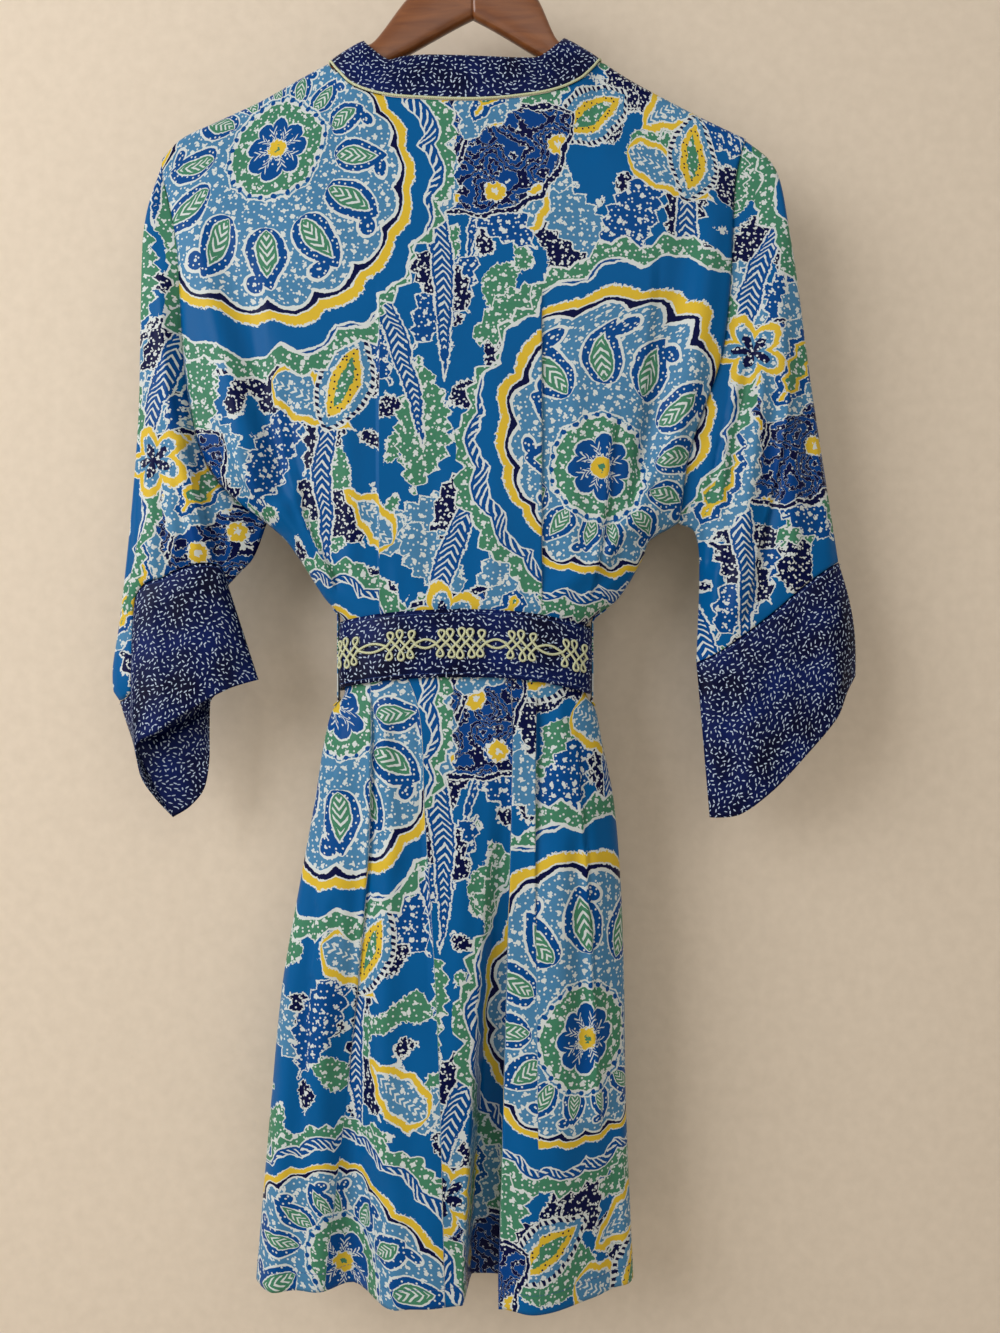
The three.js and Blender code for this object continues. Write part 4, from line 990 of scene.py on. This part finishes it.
# The two fronts: plain panels of the same print, the left one wrapped over the right one.
MIRROR, LAP = -5, 4.4
FRONT_EDGE = np.array([
    (-149, -118), (-175, -110), (-210, -101), (-300, -78), (-400, -48), (-500, -18), (-600, 12),
    (-640, 20), (-700, 25), (-1148, 40),
], float).T
FRONT_FOLDS = [
    (-200, -300, -150, -480, 14, 12, -2, -4), (190, -300, 145, -480, 14, 12, -2, -4),
    (-85, -690, -105, -1148, 12, 24, -3, -14), (80, -690, 100, -1148, 12, 20, -3, -12),
    (-180, -440, -100, -580, 8, 6, 3, 3), (170, -440, 92, -580, 8, 6, 3, 3),
    (-150, -500, -88, -596, 6, 5, -2, -3), (150, -500, 84, -596, 6, 5, -2, -3),
    (-120, -260, -96, -420, 20, 24, 2, 0.5), (112, -250, 92, -400, 20, 22, 2, 0.5),
    (-60, -664, -64, -740, 6, 9, 2.4, 0.5), (56, -664, 60, -740, 6, 9, 2.4, 0.5),
    (-36, -664, -40, -900, 7, 14, -2, -1), (30, -664, 34, -860, 6, 12, -2, -1),
    (-60, -820, -70, -1148, 12, 18, 2, 8), (56, -800, 64, -1148, 12, 18, 2, 7),
    (-130, -800, -144, -1148, 10, 16, 2, 6), (112, -820, 118, -1148, 10, 14, 2, 5),
    (-8, -860, -14, -1148, 12, 18, 1, 5), (-84, -572, -80, -604, 5, 4, 0.6, 2),
    (60, -572, 58, -604, 5, 4, 0.6, 2), (-30, -574, -28, -604, 5, 4, 0.5, 1.8),
]


def shoulder(x):
    flat_neck = np.where(x < MIRROR, NECK["left"][1], NECK["right"][1])
    return np.where((x > NECK["left"][0]) & (x < NECK["right"][0]), flat_neck, curve(TOP[0], TOP[1], x))


def front_edge(hand, z):
    x = curve(FRONT_EDGE[0], FRONT_EDGE[1], z)
    if hand == "left":
        return x
    return 2 * MIRROR - x + smooth((z + 400) / 200) * (NECK["right"][0] - 2 * MIRROR + NECK["left"][0])


def front_depth(hand, x, z, fine=True):
    drop = shoulder(x) - z
    plain = hanging("front", x, z, roll(drop), drop)
    rows = FRONT_FOLDS if fine else FRONT_FOLDS[:4]
    folded = plain + fold_rise(rows, x, z) * fold_fade(x, z)
    if hand == "right":
        return folded
    lower = front_edge("right", z) - 40
    return folded + LAP * smooth((x - lower + 30) / 25) * smooth((-365 - z) / 35)


for hand in ("left", "right"):
    z_side = z_left if hand == "left" else z_right
    share = np.clip((z_side - YOKE) / (TIPS[hand] - YOKE), 0, None)
    z_edge = np.where(share > 0, mix(YOKE, NECK[hand][1], share), z_side)
    seam, free = body(hand, z_side), front_edge(hand, z_edge)
    shares = np.linspace(0, 1, 64) ** 1.2
    x = mix(seam[:, None], free[:, None], shares[None, :])
    z = panel_heights(shoulder(x[:len(yoke)]))
    points = np.stack([x, np.maximum(front_depth(hand, x, z), 0.4) + 0.2, z], axis=-1)
    run = across_lengths(points, 0) * (1 if hand == "left" else -1)
    chart = np.stack([x[:, :1] + run + 60, z + 90], axis=-1) * 0.001
    piece = cloth(f"front_{hand}_cloth", points, chart, print_satin, out=(0, 1, 0))
    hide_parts(f"front_{hand}")
    stitches(f"hem_stitches_{hand}", [row_at(points, len(points) - 4.6)])

# The sleeves: each one piece of print satin, folded over at the top and joined below, set in a
# dropped armhole and held flat by its own weight.
CUFF_RINGS = {
    "left": np.array([
        (0, -292, -676, 0, -248, -772, 0), (0.05, -285, -673, -5, -262, -755, -4),
        (0.09, -278, -660, -8, -273, -736, -6), (0.13, -275.5, -592, -11, -276, -713, -10),
        (0.23, -250, -574, -14, -256, -701, -15), (0.36, -222, -563, -13, -228, -682, -17),
        (0.45, -208, -564, -8, -198, -665, -12), (0.5, -203, -577, 0, -177, -658, 0),
        (0.56, -210, -590, 8, -204, -665, 8), (0.61, -218, -601, 11, -220, -676, 11),
        (0.66, -226, -612, 13, -221, -698, 12),
        (0.76, -246, -638, 14, -222, -728, 14), (0.84, -264, -656, 12, -226, -750, 13),
        (0.92, -281, -669, 7, -236, -764, 7), (1, -292, -676, 0, -248, -772, 0),
    ], float).T,
    "right": np.array([
        (0, 304, -561, 0, 318, -655, 0), (0.06, 293, -567, -8, 309, -668, -7),
        (0.14, 274, -580, -12, 299, -689, -12), (0.24, 248, -602, -14, 274, -718, -15),
        (0.34, 222, -622, -14, 247, -747, -15), (0.43, 199, -638, -9, 219, -769, -9),
        (0.5, 186, -644, 0, 197, -772, 0), (0.57, 200, -637, 9, 218, -764, 9),
        (0.66, 224, -619, 14, 244, -742, 14), (0.76, 250, -598, 14, 272, -712, 14),
        (0.86, 276, -578, 12, 298, -684, 12), (0.94, 294, -566, 7, 309, -667, 7),
        (1, 304, -561, 0, 318, -655, 0),
    ], float).T,
}
OUTER_FOLD = {
    "left": np.array([(-228, -255), (-244, -260.5), (-260, -266), (-277, -270), (-300, -272.5), (-426, -276),
                      (-509, -282), (-608, -292), (-650, -298), (-667, -297.5), (-676, -292)], float).T,
    "right": np.array([(-211, 226), (-227, 246), (-244, 255), (-277, 261.5), (-326, 269.5), (-409, 281),
                       (-476, 291), (-561, 304)], float).T,
}
UNDER_SEAM = {
    "left": np.array([(0, -171, -528), (0.5, -181, -556), (0.8, -192, -569), (1, -203, -577)], float).T,
    "right": np.array([(0, 171, -528), (0.13, 185, -535), (0.28, 189, -560), (1, 186, -644)], float).T,
}
ARMHOLE_SHARES = [0, 0.02, 0.045, 0.075, 0.11, 0.15, 0.19, 0.25, 0.37, 0.5, 0.64, 0.78, 0.9, 1]
ARMHOLE_ROWS = [0, 0.012, 0.045, 0.11, 0.22, 0.42, 0.68, 1]
# Folds of each sleeve as seen from the back, on its near side and, softened, on its far side
SLEEVE_FOLDS = {
    "left": [
        (-243, -250, -228, -400, 5, 6, -2.5, -3), (-228, -400, -205, -560, 6, 6, -3, -2),
        (-262, -300, -258, -640, 7, 8, 2.5, 3), (-250, -330, -240, -560, 6, 7, 2, 2.5),
        (-272, -420, -284, -640, 5, 5, -1.5, -3), (-236, -470, -222, -560, 5, 5, 2.5, 2.5),
    ],
    "right": [
        (236, -260, 222, -430, 6, 7, -2.5, -3), (222, -430, 196, -560, 7, 7, -3.5, -4),
        (250, -300, 262, -560, 9, 9, 2.5, 3), (232, -420, 214, -600, 7, 7, 3, 3.5),
        (206, -480, 196, -620, 5, 6, 2, 2.5), (272, -400, 286, -540, 7, 7, -2, -2.5),
        (244, -440, 238, -590, 6, 7, -2, -3),
    ],
}

# Sharp creases of each sleeve: their line by height, the side that lies lower, and rises beside it
SLEEVE_CREASES = {
    "left": [([(-237, -252), (-300, -242), (-393, -236), (-435, -232), (-511, -222), (-570, -208)], 1, 4, 5)],
    "right": [([(-267, 212), (-349, 218), (-430, 210), (-495, 197), (-560, 187), (-640, 190)], -1, 4, 5),
              ([(-400, 262), (-480, 250), (-560, 232), (-640, 214)], 1, 2, 2.5)],
}


def cuff_ring(hand, edge, r):
    rows = CUFF_RINGS[hand]
    first = 1 if edge == "seam" else 4
    return np.stack([curve(rows[0], rows[first], r), curve(rows[0], rows[first + 2], r),
                     curve(rows[0], rows[first + 1], r)], axis=-1)


def cuff_seam(hand, r):
    """The sleeve's end, set back a little from the cuff."""
    seam = cuff_ring(hand, "seam", r)
    away = seam - cuff_ring(hand, "hem", r)
    away /= np.linalg.norm(away, axis=-1, keepdims=True)
    before, after = cuff_ring(hand, "seam", np.maximum(0, r - 0.01)), cuff_ring(hand, "seam", np.minimum(1, r + 0.01))
    tangent = after - before
    tangent /= np.linalg.norm(tangent, axis=-1, keepdims=True)
    over = np.stack([tangent[..., 2], np.zeros(r.shape), -tangent[..., 0]], axis=-1)
    over *= np.where(np.sum(over * away, axis=-1, keepdims=True) < 0, -1, 1)
    return seam + 0.4 * away + 0.4 * over


def armhole(hand, s, near):
    rows = [mix(TIPS[hand], YOKE, t) for t in ARMHOLE_ROWS] + [-350, -405, -455, -490, -512, -528]
    z = curve(ARMHOLE_SHARES, rows, s)
    x = body(hand, z)
    depth = np.where(near, -back_depth(x, z, False), front_depth(hand, x, z, False))
    ends = np.minimum(1, np.minimum(s / 0.02, (1 - s) / 0.02))
    inwards = 0.8 * (1 if hand == "left" else -1)
    return np.stack([x + inwards, (depth - 0.5 * np.sign(depth)) * ends, z - 0.5], axis=-1)


def sleeve_points(hand, r, v):
    near = r <= 0.5
    s = np.where(near, r * 2, 2 - r * 2)

    def column(value):
        return value[..., None]

    outer = OUTER_FOLD[hand]
    z = mix(outer[0][0], outer[0][-1], v)
    outer_line = np.stack([curve(outer[0], outer[1], z), np.zeros(v.shape), z], axis=-1)
    under = UNDER_SEAM[hand]
    inner_line = np.stack([curve(under[0], under[1], v), np.zeros(v.shape), curve(under[0], under[2], v)], axis=-1)
    zero, one = np.zeros(1), np.ones(1)
    c00, c01 = armhole(hand, zero, True)[0], armhole(hand, one, True)[0]
    c10, c11 = cuff_seam(hand, zero)[0], cuff_seam(hand, np.array([0.5]))[0]

    def pinned(line, ends, a, b):
        return line + column(1 - v) * (a - ends[0]) + column(v) * (b - ends[1])

    z_ends = np.array([outer[0][0], outer[0][-1]])
    outer_ends = np.stack([curve(outer[0], outer[1], z_ends), [0, 0], z_ends], axis=-1)
    inner_ends = np.array([(under[1][0], 0, under[2][0]), (under[1][-1], 0, under[2][-1])])
    points = (armhole(hand, s, near) * column(1 - v)
              + cuff_seam(hand, np.where(near, s / 2, 1 - s / 2)) * column(v)
              + pinned(outer_line, outer_ends, c00, c10) * column(1 - s)
              + pinned(inner_line, inner_ends, c01, c11) * column(s)
              - c00 * column((1 - s) * (1 - v)) - c01 * column(s * (1 - v))
              - c10 * column((1 - s) * v) - c11 * column(s * v))
    full = np.maximum(0, np.sin(math.pi * s) * np.sin(math.pi * v))
    rise = 5 * full ** 0.6 + 5 * np.sqrt(full) * smooth(v * 14) * (1 - smooth((v - 0.2) / 0.5))
    x, z = points[..., 0], points[..., 2]
    rise = rise + 1.25 * crease_rise(SLEEVE_CREASES[hand], x, z) * np.minimum(1, full * 2) * near
    rise = rise + fold_rise(SLEEVE_FOLDS[hand], x, z) * np.minimum(1, full * 3) * np.where(near, 1.4, -0.45)
    points[..., 1] += np.where(near, -1, 1) * rise
    return points


# Where on the printed cloth each sleeve was cut, beside and above its place on the robe
CUT_FROM = {"left": (-70, 60), "right": (62, -30)}
for hand in ("left", "right"):
    half = np.concatenate([steps(0, 0.05, 8), steps(0.05, 0.25, 20), steps(0.25, 0.5, 34)])
    half_back = np.append(half, 0.5)[::-1]
    around = np.concatenate([half, 1 - half_back[:-1]])
    down = smooth(np.linspace(0, 1, 84)) * 0.35 + np.linspace(0, 1, 84) * 0.65
    r, v = np.meshgrid(around, down)
    points = sleeve_points(hand, r, v)
    closed = np.concatenate([points, points[:, :1]], axis=1)
    near_far = np.where(np.append(around, 1.0) <= 0.5, 1, -1)
    flat_x = closed[..., 0] + np.where(near_far > 0, 0, 2 * (closed[:, len(half):len(half) + 1, 0] - closed[..., 0]))
    beside, above = CUT_FROM[hand]
    chart = np.stack([flat_x + beside, closed[..., 2] + above], axis=-1) * 0.001
    piece = cloth(f"sleeve_{hand}_cloth", points, chart, print_satin, ring=True, out="round")
    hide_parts(f"sleeve_{hand}")

# The cuffs: a deep band of seed-print satin round the end of each sleeve, doubled, with its
# fold at the wrist. The left one has turned, so a diagonal fold crosses it.
CUFF_FOLDS = {
    "left": [(-268, -706, -228, -682, 4, 4, 3.5, 3.5), (-262, -716, -226, -692, 5, 5, -3, -3.5),
             (-256, -724, -230, -745, 7, 7, -1, -1.5), (-262, -600, -250, -690, 8, 9, 1.5, 1.5)],
    "right": [(226, -650, 236, -750, 8, 9, 2.5, 2.5), (262, -610, 284, -700, 9, 9, -2, -2.5),
              (286, -600, 302, -660, 6, 6, 1.5, 1.5), (206, -660, 214, -745, 5, 6, -1.5, -2)],
}
for hand in ("left", "right"):
    turn = -1 if hand == "left" else 1
    half = np.concatenate([steps(0, 0.06, 8), steps(0.06, 0.44, 36), steps(0.44, 0.5, 8)])
    around = np.concatenate([half, 0.5 + half])
    down = np.linspace(0, 1, 44)
    r, v = np.meshgrid(around, down)
    points = mix(cuff_ring(hand, "seam", r), cuff_ring(hand, "hem", r), v[..., None])
    points[..., 0] += turn * 5 * np.sin(math.pi * v) * np.maximum(0, np.cos(2 * math.pi * r)) ** 2
    full = np.minimum(1, 3 * np.abs(np.sin(2 * math.pi * r)) * np.sin(math.pi * v))
    rise = 1.2 * full + fold_rise(CUFF_FOLDS[hand], points[..., 0], points[..., 2]) * full
    points[..., 1] += np.where(r <= 0.5, -1, 1) * rise
    closed = np.concatenate([points, points[:, :1]], axis=1)
    run = across_lengths(closed, 0)
    drop = np.linalg.norm(closed - closed[:1], axis=2)
    chart = np.stack([run, drop], axis=-1) * 0.001
    piece = cloth(f"cuff_{hand}_cloth", points, chart, seed_satin, thick=1.0, ring=True, out="round")
    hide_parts(f"cuff_{hand}")
    stitches(f"cuff_stitches_{hand}", [row_at(closed, 0.8)])

# The neckband: a doubled band of seed-print satin, sewn round the back of the neck and down
# both front edges to the hem.
BAND_TOP = np.array([
    (-89.6, -131.7, 0), (-89, -133, 6), (-87.7, -135.4, 9), (-84.8, -139.5, 11.5), (-67, -153.5, 14.5),
    (-56, -151, 15), (-35, -150, 16), (6, -151, 16), (45, -152.5, 16), (55, -151, 15), (71.7, -137.3, 11.5),
    (74.6, -133.2, 9), (75.9, -130.8, 6), (76.5, -129.5, 0),
], float).T


def front_band(hand, z):
    sign = 1 if hand == "left" else -1
    seam_x = front_edge(hand, z)
    drop = NECK[hand][1] - z
    low = smooth(drop / 60)
    free_x, free_z = seam_x + sign * mix(28.4, 40, low), z + mix(17.3, 0, low)
    at_seam = front_depth(hand, seam_x, z)
    near = mix(roll(drop), at_seam, smooth(drop / 60))
    at_free = np.where(drop < 60, near, front_depth(hand, free_x, z))
    return (np.stack([seam_x, at_seam + 0.2, z], -1), np.stack([free_x, at_free + 0.2, free_z], -1))


def back_band(t):
    x = mix(NECK["left"][0], NECK["right"][0], t)
    free_x = mix(BAND_TOP[0][0], BAND_TOP[0][-1], t)
    seam = np.stack([x, -curve(TOP[0], TOP[2], x), curve(TOP[0], TOP[1], x)], -1)
    free = np.stack([free_x, -curve(BAND_TOP[0], BAND_TOP[2], free_x), curve(BAND_TOP[0], BAND_TOP[1], free_x)], -1)
    return seam, free


def band_heights(hand):
    high = mix(NECK[hand][1], YOKE, np.linspace(0, 1, 34)[1:] ** 1.25)
    return np.concatenate([high, np.arange(YOKE - 7, HEM + 3, -7), [HEM]])


close = np.concatenate([np.linspace(0, 6.5, 9), np.linspace(8, 24, 9)]) / 225
shares = np.concatenate([close, steps(close[-1], 1 - close[-1], 44)[1:], (1 - close)[::-1]])
bands = [front_band("left", band_heights("left")[::-1]), back_band(shares), front_band("right", band_heights("right"))]
band_seam, band_free = (np.concatenate([b[k] for b in bands]) for k in (0, 1))
wide = np.linalg.norm(band_free - band_seam, axis=1)[:, None, None]
cross = np.linspace(0, 1, 13)
at = 1.2 / wide + (1 - 1.2 / wide) * cross[None, :, None]
points = band_seam[:, None] * (1 - at) + band_free[:, None] * at
lengthwise = np.gradient(points[:, 6], axis=0)
outwards = np.cross(lengthwise, band_free - band_seam)
outwards /= np.linalg.norm(outwards, axis=1, keepdims=True)
crown_rise = 0.9 * (1 - (2 * cross - 1) ** 4)
points = points + outwards[:, None] * crown_rise[None, :, None]
run = np.concatenate([[0], np.cumsum(np.linalg.norm(np.diff(points[:, 6], axis=0), axis=1))])
chart = np.stack([np.repeat(run[:, None], 13, 1), cross[None, :] * 40 + np.zeros((len(run), 1))], -1) * 0.001
band = cloth("neckband_cloth", points, chart, seed_satin, thick=1.0, out=outwards[len(run) // 2])
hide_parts("neckband")

stitches("neckband_stitches", [points[:, 1]])

# The neck piping: a thin pale cord covered in satin, caught in the neckband's seam.
# Painted shade and highlight: the cord's colour runs in fine diagonal bands from a shaded tone to a lit one along its
# twist, and the same bands give its real bump. The braid uses this material too
pale_cord, tree, shader, twist_and_painted_sheen = grained("pale cord", "Wave", (174, 180, 136), (216, 218, 184),
                                         bump=(0.5, 0.0002), Scale=420, Distortion=3, Detail=2)
twist_and_painted_sheen.bands_direction = "DIAGONAL"
shader.inputs["Roughness"].default_value = 0.55
shader.inputs["Specular IOR Level"].default_value = 0.3
PIPING = 1.0
spine = points[:, 0] + outwards * (PIPING + 0.1)
along = np.gradient(spine, axis=0)
along /= np.linalg.norm(along, axis=1, keepdims=True)
sideways = np.cross(along, outwards)
sideways /= np.linalg.norm(sideways, axis=1, keepdims=True)
turns = np.linspace(0, 2 * math.pi, 10, endpoint=False)
rings = spine[:, None] + PIPING * (np.cos(turns)[None, :, None] * outwards[:, None]
                                   + np.sin(turns)[None, :, None] * sideways[:, None])
piping = mesh_piece("piping", rings.reshape(-1, 3), tube_faces(len(spine), 10), pale_cord)
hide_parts("neck_piping")

# The belt: a stiffened sash of seed-print satin round the waist. It sags a little at the sides.
BELT_MIDDLE_X, BELT_HALF, BELT_BACK, BELT_FRONT, BELT_HEIGHT = -5.5, 103.6, 37, 45.8, 54


def belt_section(angle):
    c, s = np.cos(angle), np.sin(angle)
    deep = np.where(s < 0, BELT_BACK, BELT_FRONT)
    return (BELT_MIDDLE_X + BELT_HALF * np.sign(c) * np.abs(c) ** 0.8, deep * np.sign(s) * np.abs(s) ** 0.8)


def belt_middle(x, y):
    away = (x - BELT_MIDDLE_X) / BELT_HALF
    sag = mix(-628.5, np.where(away < 0, -638, -643), np.abs(away) ** 2.4)
    return np.where(y >= 0, -640, sag)


angles = np.linspace(0, 2 * math.pi, 220, endpoint=False)
belt_x, belt_y = belt_section(angles)
heights = np.linspace(0.5, -0.5, 17)
swell = 0.8 * (1 - (2 * np.abs(heights)) ** 5)
norm_x, norm_y = np.gradient(belt_y), -np.gradient(belt_x)
scale = np.hypot(norm_x, norm_y)
ripple = 0.5 * np.sin(angles[None, :] * 9 + 1.3) * np.cos(heights[:, None] * 3)
reach = swell[:, None] + ripple
points = np.stack([belt_x[None, :] + reach * (norm_x / scale)[None, :],
                   belt_y[None, :] + reach * (norm_y / scale)[None, :],
                   belt_middle(belt_x, belt_y)[None, :] + heights[:, None] * BELT_HEIGHT], -1)
closed_x, closed_y = np.append(belt_x, belt_x[0]), np.append(belt_y, belt_y[0])
around = np.concatenate([[0], np.cumsum(np.hypot(np.diff(closed_x), np.diff(closed_y)))])
chart = np.stack([np.repeat(around[None, :], 17, 0), np.repeat(heights[:, None] * BELT_HEIGHT, 221, 1)], -1) * 0.001
belt = cloth("belt_cloth", points, chart, seed_satin, thick=1.4, ring=True, out="round")
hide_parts("belt")
ringed = np.concatenate([points, points[:, :1]], axis=1)
stitches("belt_stitches", [row_at(ringed, 1.0), row_at(ringed, 15.0)])

# The belt loops: a narrow strip of the print sewn to each side seam, over the belt.
for hand in ("left", "right"):
    turn = -1 if hand == "left" else 1
    z = np.array([-600, -603, -605, -607, -610, -614, -620, -630,
                  -641, -652, -662, -668, -670, -672, -675, -679], float)
    over = BELT_MIDDLE_X + turn * (BELT_HALF + 2.4)
    sewn = body(hand, z) + turn * 2.1
    x = np.where((z < -604) & (z > -673), over, sewn)
    x = np.maximum(x, sewn) if turn > 0 else np.minimum(x, sewn)
    wide = np.linspace(-5, 5, 7)
    points = np.stack([np.repeat(x[:, None], 7, 1) - turn * (wide[None, :] / 5) ** 4 * 0.5,
                       np.repeat(wide[None, :], len(z), 0), np.repeat(z[:, None], 7, 1)], -1)
    chart = np.stack([np.repeat(wide[None, :] + 200, len(z), 0), np.repeat(z[:, None], 7, 1) + 120], -1) * 0.001
    piece = cloth(f"belt_loop_{hand}_cloth", points, chart, print_satin, thick=1.0, out=(turn, 0, 0))
    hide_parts(f"belt_loop_{hand}")

# The knot and tails: the belt is tied at the front and its two ends hang down.
KNOT_X, KNOT_Z, KNOT_WIDE, KNOT_HIGH, KNOT_DEEP = -8, -640, 40, 46, 15
KNOT_Y = BELT_FRONT + 0.3 + KNOT_DEEP / 2
points = []
for h in np.sin(np.linspace(-math.pi / 2, math.pi / 2, 36)):
    shrink = max(0.28, (1 - abs(h) ** 3) ** 0.4)
    for a in np.linspace(0, 2 * math.pi, 48, endpoint=False):
        wrap = 1 + 0.05 * math.sin(5 * a + 3.5 * h) + 0.04 * math.sin(9 * a - 6 * h)
        points.append((KNOT_X + KNOT_WIDE / 2 * shrink * wrap * math.cos(a),
                       KNOT_Y + KNOT_DEEP / 2 * shrink * wrap * math.sin(a), KNOT_Z + h * KNOT_HIGH / 2))
knot = mesh_piece("knot", points, tube_faces(36, 48), seed_satin)
layer = knot.data.uv_layers.new(name="Cut")
for loop in knot.data.loops:
    spot = knot.data.vertices[loop.vertex_index].co
    layer.data[loop.index].uv = (spot.x, spot.z)
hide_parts("belt_knot")
for name, top, low, end, wide, lift in (("left", -14, -58, -1085, 44, 3), ("right", -4, -6, -1060, 44, 5.7)):
    t, u = np.meshgrid(np.linspace(0, 1, 110), np.linspace(-1, 1, 15), indexing="ij")
    z = mix(KNOT_Z - KNOT_HIGH / 2 - 0.5, end, t)
    half = mix(0.34, 1, smooth(t * 6)) * wide / 2
    x = mix(top, low, smooth(t * 2.2)) + u * half + (-6 if name == "left" else 6) * (1 - smooth(t * 6))
    rest = front_depth("left", x, z) + lift
    wave = 0.8 * np.sin(u * 3.1 + t * 9) * smooth(t * 5)
    y = mix(KNOT_Y + lift - 3, rest, smooth(t * 8)) + wave * 0.4
    points = np.stack([x, y, z], -1)
    chart = np.stack([u * wide / 2 + 300, z], -1) * 0.001
    piece = cloth(f"belt_tail_{name}_cloth", points, chart, seed_satin, thick=1.2, out=(0, 1, 0))
    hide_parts(f"belt_tail_{name}")

# The braid: pale soutache cord, bent in loops above and below the belt's middle line in five
# clusters, with two strands between them that bow apart.
bends = np.linspace(math.pi, 2 * math.pi, 401)
arc_x, arc_y = belt_section(bends)
arc_run = np.concatenate([[0], np.cumsum(np.hypot(np.diff(arc_x), np.diff(arc_y)))])
MIDDLE_RUN = arc_run[np.argmin(np.abs(arc_x + 7.6))]


def on_belt(along, high, out):
    run = np.asarray(along, float) + MIDDLE_RUN
    x, y = np.interp(run, arc_run, arc_x), np.interp(run, arc_run, arc_y)
    x2, y2 = np.interp(run + 1, arc_run, arc_x), np.interp(run + 1, arc_run, arc_y)
    n = np.hypot(x2 - x, y2 - y)
    return np.stack([x + out * (y2 - y) / n, y - out * (x2 - x) / n, belt_middle(x, y) + high], -1)


CLUSTERS = ((-95, 3), (-48, 3), (0, 5), (48, 3), (92, 3))
LOOP_PITCH, LOOP_HIGH, LOOP_WIDE = 7.9, 12.0, 2.3
strands = []
for at, loops in CLUSTERS:
    # Two strands wind along the cluster in step: one loops above while the other loops below
    t = np.linspace(-math.pi / 2, (loops - 0.5) * math.pi, 22 * loops)
    place = LOOP_PITCH * (t / math.pi - (loops - 1) / 2)
    reach = LOOP_PITCH * loops / 2
    swing = (LOOP_PITCH / 4 + LOOP_WIDE) * np.sin(2 * t)
    lean = 1 + 0.1 * np.abs(np.cos(t)) * (loops == 3)
    high = LOOP_HIGH * (1 - 0.16 * np.abs(place / reach)) * np.cos(t)
    for hand in (1, -1):
        strands.append((at + place * lean - swing + (0.6 if hand > 0 else -0.6), hand * high))
for (at, loops), (then, more) in zip(CLUSTERS, CLUSTERS[1:]):
    start, stop = at + LOOP_PITCH * loops / 2 - 0.6, then - LOOP_PITCH * more / 2 + 0.6
    t = np.linspace(0, 1, 24)
    for hand in (1, -1):
        strands.append((mix(start, stop, t), hand * 3.4 * np.sin(math.pi * t)))
rows = [on_belt(run, high, 1.9 + 0.25 * (k % 3)) for k, (run, high) in enumerate(strands)]

group, cord_inputs = row_group("braid cord", (("Cord radius", "Float"), ("Cord", "Material")))
start = group.nodes.new("NodeGroupInput")
end = group.nodes.new("NodeGroupOutput")
round_section = group.nodes.new("GeometryNodeCurvePrimitiveCircle")
round_section.inputs["Resolution"].default_value = 8
sweep = group.nodes.new("GeometryNodeCurveToMesh")
sweep.inputs["Fill Caps"].default_value = True
shade = group.nodes.new("GeometryNodeSetShadeSmooth")
finish = group.nodes.new("GeometryNodeSetMaterial")
realize = group.nodes.new("GeometryNodeRealizeInstances")
for one, other in (
        (start.outputs["Geometry"], sweep.inputs["Curve"]),
        (start.outputs["Cord radius"], round_section.inputs["Radius"]),
        (round_section.outputs["Curve"], sweep.inputs["Profile Curve"]),
        (sweep.outputs["Mesh"], shade.inputs["Geometry"]), (shade.outputs["Geometry"], realize.inputs["Geometry"]),
        (realize.outputs["Geometry"], finish.inputs["Geometry"]), (start.outputs["Cord"], finish.inputs["Material"]),
        (finish.outputs["Geometry"], end.inputs["Geometry"])):
    group.links.new(one, other)
braid = along_rows("braid", rows, group, cord_inputs, {"Cord radius": 0.00098, "Cord": pale_cord})
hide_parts("belt_braid")
